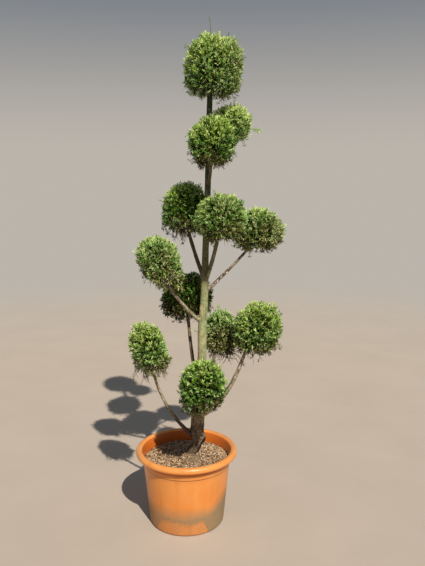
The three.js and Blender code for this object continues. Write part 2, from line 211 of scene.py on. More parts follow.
def pot_section():
    """The pot's half section, from the middle of its underside round to the middle of its floor inside."""
    collar = POT["collar"]
    height = POT["height"]
    lip = POT["lip"]
    step_height = height - 2 * lip - POT["collar_drop"]
    below_step = step_height - 2 * POT["step"]
    wall_foot = (POT["base"], POT["heel"])
    wall_top = (collar - POT["step"], below_step)
    wall = np.linspace(wall_foot, wall_top, WALL_ROWS)
    inner_top = (collar - POT["wall"], height - 2 * lip)
    inner_foot = (POT["base"] - POT["wall"], POT["floor"] + POT["heel"])
    inner = np.linspace(inner_top, inner_foot, WALL_ROWS)
    inside_holes = POT["hole_ring"] - ROUND_HOLES[0] * POT["hole_radius"]
    outside_holes = POT["hole_ring"] + ROUND_HOLES[1] * POT["hole_radius"]
    return [
        (0, 0),
        (inside_holes, 0),
        (outside_holes, 0),
        *arc(POT["base"] - POT["heel"], POT["heel"], POT["heel"], -90, 0, HEEL_STEPS),
        *wall[1:],
        (collar - STEP_EDGE, step_height - STEP_EDGE),
        (collar - EDGE_MIDDLE * STEP_EDGE, step_height - EDGE_MIDDLE * STEP_EDGE),
        (collar, step_height + STEP_EDGE),
        (collar, height - POT["neck"] - STEP_EDGE),
        *arc(POT["rim"] - lip, height - lip, lip, *LIP_TURN, LIP_STEPS),
        *inner,
        (POT["base"] - POT["heel"] - POT["wall"], POT["floor"]),
        (inside_holes, POT["floor"]),
        (0, POT["floor"]),
    ]


def moulded_polypropylene():
    """Satin plastic with a soft sheen. It is bleached towards the lip, and soil has splashed on its foot.
    Shade is painted inside the pot, under the lip and along the fine step.
    """
    name = "moulded polypropylene, terracotta, satin"
    made, tree, surface = new_material(name, roughness=0.36, shine=0.42)
    place = add(tree, "TexCoord", {}, "Object")
    parts = add(tree, "SeparateXYZ", {"Vector": place}).node.outputs
    clouds = add(tree, "TexNoise", {"Vector": place, "Scale": repeats(120), "Detail": 3})
    fade = add(
        tree,
        "MapRange",
        {"Value": parts["Z"], "From Min": 0.1, "From Max": 0.34, "To Min": 0, "To Max": 0.45},
    )
    bleach = add(tree, "Math", {0: clouds, 1: fade}, operation="ADD")
    bleach = add(tree, "MapRange", {"Value": bleach, "From Min": 0.5, "From Max": 1.05})
    base = add(
        tree,
        "MixRGB",
        {"Fac": bleach, "Color1": linear(TERRACOTTA), "Color2": linear(TERRACOTTA_BLEACHED)},
    )
    # The colour pigment didn't mix quite evenly, which leaves faint upright flow marks in the wall.
    flow_place = add(tree, "Mapping", {"Vector": place, "Scale": (repeats(45), repeats(45), repeats(400))})
    flow = add(tree, "TexNoise", {"Vector": flow_place, "Scale": 1, "Detail": 2})
    flow = add(tree, "MapRange", {"Value": flow, "From Min": 0.5, "From Max": 0.8, "To Max": 0.5})
    base = add(tree, "MixRGB", {"Fac": flow, "Color1": base, "Color2": linear(TERRACOTTA_DEEP)})
    # Painted shade: inside the pot and in the strip under the lip, where the lip's shadow falls, the plastic
    # is painted a deeper, redder orange for the shade there. The sun hasn't bleached it there either.
    facing = add(tree, "NewGeometry", {}, "Normal")
    outward = add(tree, "VectorMath", {0: facing, 1: place}, "Value", operation="DOT_PRODUCT")
    inside = add(
        tree, "MapRange", {"Value": outward, "From Min": -0.02, "From Max": 0.06, "To Min": 1, "To Max": 0}
    )
    from_lip = add(tree, "Math", {0: parts["Z"], 1: UNDER_LIP * MM}, operation="SUBTRACT")
    from_lip = add(tree, "Math", {0: from_lip}, operation="ABSOLUTE")
    painted_lip_shadow = add(
        tree, "MapRange", {"Value": from_lip, "From Min": 0.008, "From Max": 0.014, "To Min": 1, "To Max": 0}
    )
    shaded = add(tree, "Math", {0: inside, 1: painted_lip_shadow}, operation="MAXIMUM")
    base = add(tree, "MixRGB", {"Fac": shaded, "Color1": base, "Color2": linear(TERRACOTTA_UNBLEACHED_PAINTED_SHADE)})
    # Splashed soil has dried in a smear with a soft upper edge, thickest and highest on the right. A patch
    # under it has stayed clean. A thin film of dust lies over the whole foot.
    ragged = add(tree, "TexNoise", {"Vector": place, "Scale": repeats(50), "Detail": 6, "Roughness": 0.6})
    height = add(tree, "Math", {0: ragged, 1: SMEAR_WANDERS, 2: parts["Z"]}, operation="MULTIPLY_ADD")
    upper = add(
        tree,
        "MapRange",
        {"Value": parts["X"], "From Min": 0.1, "From Max": 0.175, "To Min": 0.134, "To Max": 0.18},
        interpolation_type="SMOOTHSTEP",
    )
    above = add(tree, "Math", {0: height, 1: upper}, operation="SUBTRACT")
    above = add(
        tree, "MapRange", {"Value": above, "From Min": -0.033, "From Max": 0.033, "To Min": 1, "To Max": 0}
    )
    sideways = add(tree, "Math", {0: parts["X"], 1: CLEAN_PATCH_AT * MM}, operation="SUBTRACT")
    sideways = add(tree, "Math", {0: sideways}, operation="ABSOLUTE")
    lower = add(
        tree,
        "MapRange",
        {"Value": sideways, "From Min": 0.085, "From Max": 0.13, "To Min": 0.08, "To Max": 0},
        interpolation_type="SMOOTHSTEP",
    )
    below = add(tree, "Math", {0: height, 1: lower}, operation="SUBTRACT")
    edge = add(
        tree, "MapRange", {"Value": below, "From Min": 0, "From Max": 0.035, "To Min": 1, "To Max": 0}
    )
    below = add(tree, "MapRange", {"Value": below, "From Min": -0.018, "From Max": 0.016})
    thick = add(
        tree,
        "MapRange",
        {"Value": parts["X"], "From Min": -0.12, "From Max": 0.13, "To Min": 0.74, "To Max": 0.95},
    )
    splash = add(tree, "Math", {0: above, 1: below}, operation="MULTIPLY")
    splash = add(tree, "Math", {0: splash, 1: thick}, operation="MULTIPLY")
    film = add(
        tree, "MapRange", {"Value": height, "From Min": 0.09, "From Max": 0.17, "To Min": 0.32, "To Max": 0}
    )
    splash = add(tree, "Math", {0: splash, 1: film}, operation="MAXIMUM")
    base = add(tree, "MixRGB", {"Fac": splash, "Color1": base, "Color2": linear(SPLASHED_SOIL)})
    # Wet grit has left dark specks low in the smear, and grime lies at the heel. A thin line of painted
    # shade runs along the fine step.
    grit = add(tree, "TexNoise", {"Vector": place, "Scale": repeats(8), "Detail": 4, "Roughness": 0.7})
    grit = add(tree, "MapRange", {"Value": grit, "From Min": 0.5, "From Max": 0.66})
    grit = add(tree, "Math", {0: grit, 1: splash}, operation="MULTIPLY")
    grit = add(tree, "Math", {0: grit, 1: edge}, operation="MULTIPLY")
    heel = add(
        tree,
        "MapRange",
        {"Value": parts["Z"], "From Min": 0.002, "From Max": 0.012, "To Min": 0.8, "To Max": 0},
    )
    heel = add(tree, "Math", {0: heel, 1: ragged}, operation="MULTIPLY")
    # Painted shade: a thin dark line along the fine step, where its ledge shades the wall below.
    from_step = add(tree, "Math", {0: parts["Z"], 1: STEP_SHADE_HEIGHT * MM}, operation="SUBTRACT")
    from_step = add(tree, "Math", {0: from_step}, operation="ABSOLUTE")
    painted_step_shade = add(
        tree,
        "MapRange",
        {"Value": from_step, "From Min": 0.001, "From Max": 0.0035, "To Min": 0.75, "To Max": 0},
    )
    grime = add(tree, "Math", {0: grit, 1: heel}, operation="MAXIMUM")
    base = add(tree, "MixRGB", {"Fac": grime, "Color1": base, "Color2": linear(POT_GRIME)})
    base = add(tree, "MixRGB", {"Fac": painted_step_shade, "Color1": base, "Color2": linear(STEP_SHADE)})
    tree.links.new(base, surface.inputs["Base Color"])
    dull = add(tree, "MapRange", {"Value": splash, "From Max": 0.8, "To Min": 0.33, "To Max": 0.85})
    tree.links.new(dull, surface.inputs["Roughness"])
    # The mould's fine texture is drawn at 3 mm, as coarse as it needs to be to show.
    skin = add(tree, "TexNoise", {"Vector": place, "Scale": repeats(3), "Detail": 2})
    relief = add(tree, "Math", {0: grime, 1: skin}, operation="MAXIMUM")
    bump = add(tree, "Bump", {"Height": relief, "Strength": 0.25, "Distance": 0.0006})
    tree.links.new(bump, surface.inputs["Normal"])
    return made


def drill_holes(piece):
    """Cuts the ring of drain holes through the pot's floor."""
    bpy.ops.object.select_all(action="DESELECT")
    for i in range(POT["holes"]):
        angle = i * TURN / POT["holes"]
        at = Vector((math.cos(angle), math.sin(angle), 0)) * POT["hole_ring"] * MM
        bpy.ops.mesh.primitive_cylinder_add(
            vertices=HOLE_SIDES,
            radius=POT["hole_radius"] * MM,
            depth=DRILL_LENGTH * POT["floor"] * MM,
            location=at,
        )
        drill = bpy.context.object
        cut = piece.modifiers.new("drain hole", "BOOLEAN")
        cut.operation = "DIFFERENCE"
        cut.solver = "EXACT"
        cut.object = drill
        bpy.context.view_layer.update()
        shaped = bpy.data.meshes.new_from_object(piece.evaluated_get(bpy.context.evaluated_depsgraph_get()))
        piece.modifiers.clear()
        piece.data = shaped
        bpy.data.objects.remove(drill)


def pot_body():
    """The turned shell with its drain holes."""
    points, faces = turned(pot_section(), POT_SIDES)
    # The thin rim has moved a little off a true circle, and the foot hasn't.
    angle = np.arctan2(points[:, 1], points[:, 0])
    moved = OUT_OF_ROUND * (points[:, 2] / POT["height"]) ** 2 * np.cos(2 * angle + OVAL_TURN)
    radius = np.hypot(points[:, 0], points[:, 1])
    points[:, :2] *= (1 + moved / np.maximum(radius, POT["base"]))[:, None]
    piece = make_piece("pot_body", points, faces, [moulded_polypropylene()])
    drill_holes(piece)
    return piece


pot = pot_body()
belongs(pot, "pot", "pot")

# Potting mix
# A coarse nursery mix of composted bark, coir and pale grit. It fills the pot to 44 mm below the lip, rises
# a little round the trunk's foot, has sunk at the wall and is covered with loose chips.

MIX = {
    "level": 296,
    "plateau": 112,
    "fall": 7,
    "lumps": 3,
    "lump_pitch": (107, 145),
}
CLEARANCE = 0.3
FOOT = (52, 40)  # where the trunk stands
MOUND = 6  # how far the mix rises at the trunk's foot
MOUND_SPREAD = 62
MOUND_LEFT = 16  # its middle is this far left of the trunk, where the foot sweeps in
MIX_SIDES = 150
MIX_RINGS = 54
MIDDLE_RING = 2  # radius of the smallest ring
CRUMB = 11  # size of the crumbs in the mix's surface
CRUMB_HEIGHT = 2.2
FINE_CRUMB = 0.45  # size of the finer crumbs on them, as a share
FINE_CRUMB_HEIGHT = 0.5
SILT_SMOOTHS = 0.5
CRUMB_SEEDS = (3, 4)
CHIPS = 6200
CHIP_SIZE = (2.2, 5.4)  # half lengths
CHIP_FLATNESS = 0.42
BARK_CHIPS = 120
BARK_CHIP_SIZE = (6, 10)
BARK_CHIP_FLATNESS = 0.16
CHIP_LUCK = (0.6, 1.15)  # each chip's own share of its size
CHIP_WIDTHS = (0.45, 0.9)
CHIP_CORNERS = (0.7, 1.25)  # how far its corners stick out
CHIP_SKEW = 0.18
CHIP_TILT = 0.32
CHIP_SEAT = 0.4  # how far its middle lies above the crumbs, in half thicknesses
CHIPS_REACH = 0.985  # of the way to the wall
IN_SILT = (0.85, 0.35)  # the share of chips that silt has covered, and how much of each still shows
CHIP_SEED = 21
SILT_CENTRE = (30, -34)  # water has washed fine silt together in front of the trunk's foot
SILT_HALF = (38, 52)
SILT_EDGE = (1.1, 0.35)  # where the silt ends, in half widths, and over how much it thins out
SILT_RAGGED = 0.6  # how much the crumbs break up its edge
SILT = "#86745a"
CHIP_TINTS = [
    ("#e8d0b4", "#d3b590"),
    ("#d0ac86", "#b8936c"),
    ("#b28e69", "#96744f"),
    ("#8a6a4c", "#6d5139"),
    ("#5c4532", "#473425"),
    ("#c9c0b0", "#a79d8e"),
]
CHIP_SHARES = [0.24, 0.3, 0.2, 0.12, 0.08, 0.06]
BARK_CHIP_TINTS = [1, 2, 3, 4]
MIX_PALE = "#7b5e42"
MIX_DARK = "#2f2318"
MASK = 0xFFFFFFFF
HASH_BY_AXIS = (73856093, 19349663, 83492791)  # primes that stir a cell's place into a random number
HASH_BY_SEED = 7919
HASH_TWICE = (1274126177, 2246822519)
HASH_SHIFTS = (13, 15, 16)
HALF_OF_16_BITS = 32767.5


def noise(points, seed=0):
    """Smooth noise from -1 to 1 at each row of an array of points, with cells one unit wide."""
    cell = np.floor(points).astype(np.int64)
    inside = points - cell
    blend = inside * inside * (3 - 2 * inside)
    total = np.zeros(len(points))
    for corner in np.ndindex(2, 2, 2):
        key = ((cell + corner) @ np.array(HASH_BY_AXIS) + seed * HASH_BY_SEED) & MASK
        key = ((key ^ (key >> HASH_SHIFTS[0])) * HASH_TWICE[0]) & MASK
        key = ((key ^ (key >> HASH_SHIFTS[1])) * HASH_TWICE[1]) & MASK
        value = (key >> HASH_SHIFTS[2]) / HALF_OF_16_BITS - 1
        total += value * np.prod(np.where(corner, blend, 1 - blend), axis=1)
    return total


def flat_points(x, y):
    """Points on the level, for noise that has no third direction."""
    return np.stack([x, y, np.zeros(len(x))], axis=1)


def inner_radius(height):
    """Radius of the pot's inner wall at a height."""
    foot = POT["floor"] + POT["heel"]
    share = (height - foot) / (POT["height"] - 2 * POT["lip"] - foot)
    return POT["base"] + (POT["collar"] - POT["base"]) * share - POT["wall"]


MIX_EDGE = inner_radius(MIX["level"] - MIX["fall"]) - CLEARANCE


def mix_height(x, y):
    """Height of the mix's surface: level round the trunk, lumpy and a little lower towards the wall."""
    radius = np.hypot(x, y)
    outward = np.clip((radius - MIX["plateau"]) / (MIX_EDGE - MIX["plateau"]), 0, 1)
    lump = np.sin(TURN * x / MIX["lump_pitch"][0]) * np.cos(TURN * y / MIX["lump_pitch"][1])
    lump *= MIX["lumps"] * 4 * outward * (1 - outward)
    to_foot = np.hypot(x - FOOT[0] + MOUND_LEFT, y - FOOT[1])
    mound = MOUND * np.exp(-((to_foot / MOUND_SPREAD) ** 2))
    return MIX["level"] - MIX["fall"] * outward + lump + mound


def silt_share(x, y):
    """How much silt covers the mix, 1 in the middle of the washed patch and 0 outside it."""
    far = np.hypot((x - SILT_CENTRE[0]) / SILT_HALF[0], (y - SILT_CENTRE[1]) / SILT_HALF[1])
    return np.clip((SILT_EDGE[0] - far) / SILT_EDGE[1], 0, 1)


def coarse_potting_mix():
    """Damp composted bark: dull, dark in its pores and paler where crumbs have dried."""
    made, tree, surface = new_material("composted bark and coir mix, crumbly", roughness=0.95, shine=0.2)
    place = add(tree, "TexCoord", {}, "Object")
    crumbs = add(tree, "TexNoise", {"Vector": place, "Scale": repeats(6), "Detail": 5, "Roughness": 0.7})
    pores = add(tree, "MapRange", {"Value": crumbs, "From Min": 0.36, "From Max": 0.62})
    base = add(tree, "MixRGB", {"Fac": pores, "Color1": linear(MIX_DARK), "Color2": linear(MIX_PALE)})
    # The washed patch is an ellipse with a ragged edge.
    spans = [1 / (half * MM) for half in SILT_HALF]
    shifts = [-centre / half for centre, half in zip(SILT_CENTRE, SILT_HALF)]
    patch = add(tree, "Mapping", {"Vector": place, "Location": (*shifts, 0), "Scale": (*spans, 0)})
    far = add(tree, "VectorMath", {0: patch}, "Value", operation="LENGTH")
    far = add(tree, "Math", {0: crumbs, 1: SILT_RAGGED, 2: far}, operation="MULTIPLY_ADD")
    silt = add(
        tree, "MapRange", {"Value": far, "From Min": 1.0, "From Max": 1.4, "To Min": 0.85, "To Max": 0}
    )
    base = add(tree, "MixRGB", {"Fac": silt, "Color1": base, "Color2": linear(SILT)})
    tree.links.new(base, surface.inputs["Base Color"])
    bump = add(tree, "Bump", {"Height": crumbs, "Strength": 0.9, "Distance": 0.002})
    tree.links.new(bump, surface.inputs["Normal"])
    return made


def chip_material(number, pale, dark):
    """A chip of bark, coir or grit: matt, mottled between two shades, with a broken surface."""
    made, tree, surface = new_material("bark and grit chip " + str(number), roughness=0.9, shine=0.25)
    place = add(tree, "TexCoord", {}, "Object")
    mottle = add(tree, "TexNoise", {"Vector": place, "Scale": repeats(4), "Detail": 3})
    base = add(tree, "MixRGB", {"Fac": mottle, "Color1": linear(pale), "Color2": linear(dark)})
    tree.links.new(base, surface.inputs["Base Color"])
    return made


def mix_bed():
    """The body of the mix, from the pot's floor up to its crumbly surface."""
    floor = POT["floor"] + CLEARANCE
    base = POT["base"] - POT["wall"] - CLEARANCE
    surface_radii = np.linspace(MIX_EDGE, MIDDLE_RING, MIX_RINGS)
    section = [
        (0, floor),
        (base - POT["heel"], floor),
        (base, floor + POT["heel"]),
        *[(radius, MIX["level"]) for radius in surface_radii],
        (0, MIX["level"]),
    ]
    points, faces = turned(section, MIX_SIDES)
    top = points[:, 2] > MIX["level"] - 1
    x = points[top, 0]
    y = points[top, 1]
    coarse = noise(flat_points(x, y) / CRUMB, CRUMB_SEEDS[0])
    fine = noise(flat_points(x, y) / (FINE_CRUMB * CRUMB), CRUMB_SEEDS[1])
    smooth = 1 - SILT_SMOOTHS * silt_share(x, y)
    points[top, 2] = mix_height(x, y) + CRUMB_HEIGHT * (coarse + FINE_CRUMB_HEIGHT * fine) * smooth
    return make_piece("potting_mix_bed", points, faces, [coarse_potting_mix()])


def loose_chips(random, count, sizes, flatness):
    """Irregular eight-faced chips that lie about flat on the mix, as points and triangles."""
    radius = MIX_EDGE * CHIPS_REACH * np.sqrt(random.random(count))
    turn = TURN * random.random(count)
    x = radius * np.cos(turn)
    y = radius * np.sin(turn)
    size = random.uniform(*sizes, count) * random.uniform(*CHIP_LUCK, count)
    size *= np.where(random.random(count) < IN_SILT[0] * silt_share(x, y), IN_SILT[1], 1)
    half = np.stack([size, size * random.uniform(*CHIP_WIDTHS, count), size * flatness], axis=1)
    ends = np.vstack([np.eye(3), -np.eye(3)])
    corners = ends * half[:, None, :] * random.uniform(*CHIP_CORNERS, (count, len(ends), 1))
    corners += CHIP_SKEW * size[:, None, None] * random.uniform(-1, 1, (count, len(ends), 3))
    lean = random.normal(0, CHIP_TILT, (count, 2))
    heading = TURN * random.random(count)
    along = np.stack([np.cos(heading), np.sin(heading), lean[:, 0]], axis=1)
    along /= np.linalg.norm(along, axis=1, keepdims=True)
    up = np.stack([lean[:, 1], -lean[:, 0], np.ones(count)], axis=1)
    across = np.cross(up, along)
    across /= np.linalg.norm(across, axis=1, keepdims=True)
    axes = np.stack([along, across, np.cross(along, across)], axis=1)
    crumbs = CRUMB_HEIGHT * noise(flat_points(x, y) / CRUMB, CRUMB_SEEDS[0])
    rest = mix_height(x, y) + crumbs + CHIP_SEAT * half[:, 2]
    points = np.stack([x, y, rest], axis=1)[:, None, :] + corners @ axes
    octahedron = np.array(
        [[0, 1, 2], [1, 3, 2], [3, 4, 2], [4, 0, 2], [1, 0, 5], [3, 1, 5], [4, 3, 5], [0, 4, 5]]
    )
    faces = octahedron + len(ends) * np.arange(count)[:, None, None]
    return points.reshape(-1, 3), faces.reshape(-1, 3)


def chips():
    """All the loose chips as one piece, dealt out in six shades."""
    random = np.random.default_rng(CHIP_SEED)
    small, small_faces = loose_chips(random, CHIPS, CHIP_SIZE, CHIP_FLATNESS)
    large, large_faces = loose_chips(random, BARK_CHIPS, BARK_CHIP_SIZE, BARK_CHIP_FLATNESS)
    points = np.vstack([small, large])
    faces = np.vstack([small_faces, large_faces + len(small)])
    small_tints = random.choice(len(CHIP_TINTS), CHIPS, p=CHIP_SHARES)
    large_tints = random.choice(BARK_CHIP_TINTS, BARK_CHIPS)
    tints = np.concatenate([small_tints, large_tints])
    tints = np.repeat(tints, len(faces) // len(tints))
    materials = [chip_material(i + 1, *shades) for i, shades in enumerate(CHIP_TINTS)]
    return make_piece("potting_mix_chips", points, faces, materials, smooth=False, tints=tints)


bed = mix_bed()
belongs(bed, "potting_mix", "potting_mix")
belongs(chips(), "potting_mix")

# Trunk and boughs
# Live wood in its own bark. The trunk's foot is old, dark and fibrous, with a knee where it was once bent.
# Painted shade darkens the foot further and lies near black under the knee, and pale sun flecks are painted
# on the knee. Higher up the bark is smoother and green with algae on its sunny side, and painted shade
# darkens it among the topmost balls. The boughs' bark flakes, and on the boughs in the shade it is a darker,
# greener copy, painted as shade. Each bough grows out of the trunk through a thicker collar.

STATIONS = [  # height above the mix, sideways drift, diameter
    (-40, -40, 53),
    (0, -20, 53),
    (28, -6, 55),
    (58, 4, 60),
    (90, 0, 58),
    (135, -3, 60),
    (200, 0, 57),
    (300, 7, 48),
    (440, 17, 40),
    (575, 20, 38),
    (710, 28, 34),
    (930, 35, 28),
    (1190, 44, 26),
    (1440, 50, 25),
    (1566, 53, 23),
]
RISES, DRIFTS, DIAMETERS = np.array(STATIONS, float).T
TRUNK_BELOW_MIX = 14
FLARE = 0.26
FLARE_HEIGHT = 26
ROOTS = 5
ROOT_SWELL = 0.4  # how much more the flare stands out over a root
KNEE_HEIGHT = 378
KNOTS = [  # knees and healed stubs: height, bearing, width and how far they stand out of the trunk
    (364, -8, 15, 6),
    (402, 0, 16, -5),
    (326, -14, 30, -16),
    (330, -150, 20, 3),
    (372, -100, 13, 3),
    (394, 172, 24, 9),
    (446, -60, 12, 3),
    (530, 20, 13, 2.5),
    (706, -130, 10, 2),
    (842, -20, 9, 2),
    (965, -150, 9, 2),
    (1250, -40, 8, 1.6),
    (1444, -100, 8, 1.6),
]
KNOT_ROUNDING = 0.6
HOLLOW_LEFT = [  # left edge of the hollow under the knee: height and bearing
    (300, -112),
    (306, -98),
    (318, -86),
    (335, -82),
    (352, -78),
    (362, -66),
    (368, -46),
    (373, 20),
]
HOLLOW_RIGHT = 35  # bearing of its right edge
HOLLOW_BELOW = 12  # how much lower than its first height it begins
HOLLOW_FADE = 12  # degrees
HOLLOW_DEPTH = 3
BOUGH_COLLAR = 0.45
BOUGH_COLLAR_LENGTH = 16
BOUGH_END = 0.97
BOUGH_THINS = 0.45  # how much thinner it gets on its way inside the ball
STEM_SHARE = 0.62  # how far into the pompon the bough carries on as its stem

# Each pompon, with the bough that carries it. Directions are in degrees, 0 to the right and 90 away from the
# viewer. reach and height place the centre, wide and tall are half sizes, and lean tips the top outwards.
# The bough leaves the trunk at the height forks. bend gives its elbow as shares of its way out and up, and
# inset is how much nearer to the trunk than its centre it enters the ball. girth is its radius at its root
# and its tip. A ball with boxy above 2 is squarer. forms are bulges and, below zero, flats that the shears
# cut: bearing, climb, height as a share of the radius, and sharpness. fresh is the share of young growth,
# light how much paler the ball is painted than the others, as painted light and shade, sunny how much paler
# its right side is painted than its middle, as painted light, flush the bearing and climb where it has
# browned, and fringe the number of bare twigs that hang below.
POMPONS = [
    dict(name="low_left", bearing=-167, reach=229, height=788, wide=80, tall=125, lean=18,
         forks=352, bend=(0.74, 0.4), inset=16, girth=(9.5, 5.5),
         forms=[(0, 64, 0.12, 7), (0, 34, -0.26, 9)],
         fresh=0.5, light=0.12, flush=(-20, -35), fringe=60),
    dict(name="low_right", bearing=-9, reach=243, height=877, wide=103, tall=121, lean=8,
         forks=468, bend=(0.64, 0.2), inset=54, girth=(12.5, 7), forms=[(10, 60, 0.12, 7)],
         fresh=0.5, light=0.05, flush=(-60, -60), fringe=40),
    dict(name="low_front", bearing=-87.5, reach=260, height=692, wide=99, tall=110, lean=0,
         forks=530, bend=(0.5, 0.45), inset=34, girth=(11, 8), boxy=2.4,
         forms=[(-35, -42, -0.24, 5)], fresh=0.4, light=-0.4, flush=(-60, -70), fringe=30),
    dict(name="low_back_right", bearing=54, reach=140, height=824, wide=84, tall=108, lean=0,
         forks=566, bend=(0.72, 0.35), inset=48, girth=(8.5, 6.5), forms=[(0, 0, 0.12, 7)],
         fresh=0.05, light=0.3, flush=(-90, -10), fringe=70),
    dict(name="mid_back_left", bearing=121, reach=152, height=992, wide=115, tall=108, lean=0,
         forks=580, bend=(0.6, 0.28), inset=8, girth=(8.5, 7),
         fresh=0.25, light=-1.3, flush=(-120, -50), fringe=100),
    dict(name="mid_left", bearing=-157, reach=211, height=1182, wide=92, tall=114, lean=30,
         forks=900, bend=(0.68, 0.5), inset=42, girth=(8.5, 7),
         forms=[(5, -56, 0.36, 7), (190, -32, -0.2, 6)],
         fresh=0.32, light=0.45, flush=(-60, 40), fringe=40),
    dict(name="up_right", bearing=9, reach=222, height=1307, wide=108, tall=97, lean=0,
         forks=1036, bend=(0.55, 0.5), inset=42, girth=(8, 5.5), forms=[(200, -45, 0.12, 7)],
         fresh=0.25, light=0.3, flush=(-40, 20), fringe=40),
    dict(name="up_front", bearing=-62, reach=130, height=1366, wide=105, tall=105, lean=0,
         forks=1082, bend=(0.5, 0.35), inset=36, girth=(9.5, 7.5),
         fresh=0.4, light=0.15, flush=(-70, 45), fringe=34),
    dict(name="up_back_left", bearing=141, reach=124, height=1396, wide=99, tall=120, lean=0,
         forks=1092, bend=(0.5, 0.4), inset=24, girth=(9, 7.5),
         fresh=0.6, light=-0.35, flush=(-60, -60), fringe=100),
    dict(name="high_front", bearing=-84, reach=122, height=1668, wide=97, tall=106, lean=0,
         forks=1504, bend=(0.7, 0.3), inset=34, girth=(7.5, 6),
         fresh=0.6, light=-0.15, flush=(-90, -60), fringe=34),
    dict(name="high_back_right", bearing=34, reach=113, height=1752, wide=83, tall=89, lean=0,
         forks=1590, bend=(0.66, 0.35), inset=26, girth=(7.5, 6),
         fresh=0.8, light=1.1, flush=(-150, -40), fringe=24),
    dict(name="top", bearing=0, reach=18, height=1971, wide=116, tall=129, lean=0, boxy=2.5,
         forms=[(-20, 40, 0.12, 7)], fresh=0.6, light=0.45, sunny=0.5, flush=(-35, 25), fringe=44),
]


def heading(bearing, climb=0):
    """A unit vector at a bearing and a climb above the horizon, both in degrees."""
    level = math.cos(math.radians(climb))
    turn = math.radians(bearing)
    return np.array([level * math.cos(turn), level * math.sin(turn), math.sin(math.radians(climb))])


def unit(vectors):
    """Each row of an array of vectors at length one."""
    return vectors / np.linalg.norm(vectors, axis=-1, keepdims=True)


def trunk_at(height):
    """The trunk's centre at a height above the ground."""
    rise = min(height - MIX["level"], RISES[-1])
    return np.array([FOOT[0] + np.interp(rise, RISES, DRIFTS), FOOT[1], MIX["level"] + rise])


def smooth_through(stations, steps):
    """A curve through the stations, a centripetal Catmull-Rom spline as in the part's source."""
    rows = np.vstack([2 * stations[0] - stations[1], stations, 2 * stations[-1] - stations[-2]])
    gaps = np.sqrt(np.linalg.norm(np.diff(rows, axis=0), axis=1))[:, None]
    curve = []
    for i in range(len(stations) - 1):
        before, start, end, after = rows[i : i + 4]
        first, middle, last = gaps[i : i + 3]
        leave = (start - before) / first - (end - before) / (first + middle) + (end - start) / middle
        leave *= middle
        reach = (end - start) / middle - (after - start) / (middle + last) + (after - end) / last
        reach *= middle
        t = np.linspace(0, 1, steps, endpoint=False)[:, None]
        cubic = 2 * start - 2 * end + leave + reach
        square = 3 * end - 3 * start - 2 * leave - reach
        curve.append(start + leave * t + (cubic * t**3 + square * t**2))
    return np.vstack([*curve, stations[-1:]])


def way_along(path):
    """How far along the path each of its points lies."""
    return np.concatenate([[0], np.cumsum(np.linalg.norm(np.diff(path, axis=0), axis=1))])


def evenly(path, spacing):
    """The path again, with points at an even spacing."""
    lengths = way_along(path)
    wanted = np.linspace(0, lengths[-1], max(3, round(lengths[-1] / spacing) + 1))
    return np.stack([np.interp(wanted, lengths, path[:, axis]) for axis in range(3)], axis=1)


LIES_ALONG = 0.7  # above this part of its direction a limb lies along an axis


def swept(paths, radii, sides):
    """Round limbs along paths, closed at both ends, as points and triangles.
    paths is (limbs, steps, 3) and radii (limbs, steps) or (limbs, steps, sides)."""
    limbs, steps, _ = paths.shape
    along = unit(np.gradient(paths, axis=1))
    sideways_limb = np.abs(along[:, :1, 0]) > LIES_ALONG
    side = np.where(sideways_limb[..., None], [0.0, 1.0, 0.0], [1.0, 0.0, 0.0])[:, 0]
    sideways = np.empty_like(paths)
    for step in range(steps):
        side = side - (side * along[:, step]).sum(axis=1, keepdims=True) * along[:, step]
        side = unit(side)
        sideways[:, step] = side
    across = np.cross(along, sideways)
    angles = np.arange(sides) * TURN / sides
    ring = sideways[:, :, None] * np.cos(angles)[:, None] + across[:, :, None] * np.sin(angles)[:, None]
    radii = radii[..., None] if radii.ndim == 2 else radii
    points = paths[:, :, None] + ring * (radii * np.ones(sides))[..., None]
    fan = np.arange(1, sides - 1)
    start_cap = np.stack([np.zeros_like(fan), fan + 1, fan], axis=1)
    end_cap = start_cap[:, ::-1] + (steps - 1) * sides
    one = np.vstack([faces_between(steps, sides), start_cap, end_cap])
    faces = one + (np.arange(limbs) * steps * sides)[:, None, None]
    return points.reshape(-1, 3), faces.reshape(-1, 3)


def ring_places(path, radius, sides, width, length):
    """Where each point of a limb lies in its bark's grain, whose fibres are so wide and so long."""
    return stacked_rings(radius / width, way_along(path) / length, sides)


GRAIN_WANDERS = 0.5  # how far the grain strays, in fibres
WANDER_SCALE = 0.37  # features to a fibre, as in the fibres' scales
FURROWS_FROM = 0.72  # where the ridged noise turns into a furrow
FURROW_SPAN = 0.28
FURROW_SHAPE = 1.5
FIBRE_SCALES = (2.3, 0.6)
FIBRE_SHARES = (0.6, 0.4)
RIDGE_LEVEL = 0.35
FIBRE_HEIGHT = 0.55
FURROW_DEPTH = 1.35


def bark_grain(path, radius, sides, width, length, seed):
    """How the bark stands out from -1 in a furrow to 1 on a ridge, with an open mesh of long furrows."""
    places = ring_places(path, radius, sides, width, length)
    wander = GRAIN_WANDERS * noise(places * WANDER_SCALE, seed + 1)[:, None]
    furrows = 1 - np.abs(noise(places + wander, seed + 2))
    furrows = np.clip((furrows - FURROWS_FROM) / FURROW_SPAN, 0, 1) ** FURROW_SHAPE
    fibres = FIBRE_SHARES[0] * noise(places * FIBRE_SCALES[0], seed + 3)
    fibres += FIBRE_SHARES[1] * noise(places * FIBRE_SCALES[1], seed + 4)
    relief = FIBRE_HEIGHT * fibres + RIDGE_LEVEL - FURROW_DEPTH * furrows
    return np.clip(relief, -1, 1).reshape(len(path), sides)


def add_mark(piece, name, values):
    """Keeps the bark's relief, or the hollow under the knee that carries painted shadow, on the mesh, so
    that its material can darken them.
    """
    mark = piece.data.attributes.new(name, "FLOAT", "POINT")
    mark.data.foreach_set("value", values.astype(np.float32).ravel())


RELIEF_IN_TONE = 0.42  # how much the bark's relief darkens its furrows, beside its fine streaks


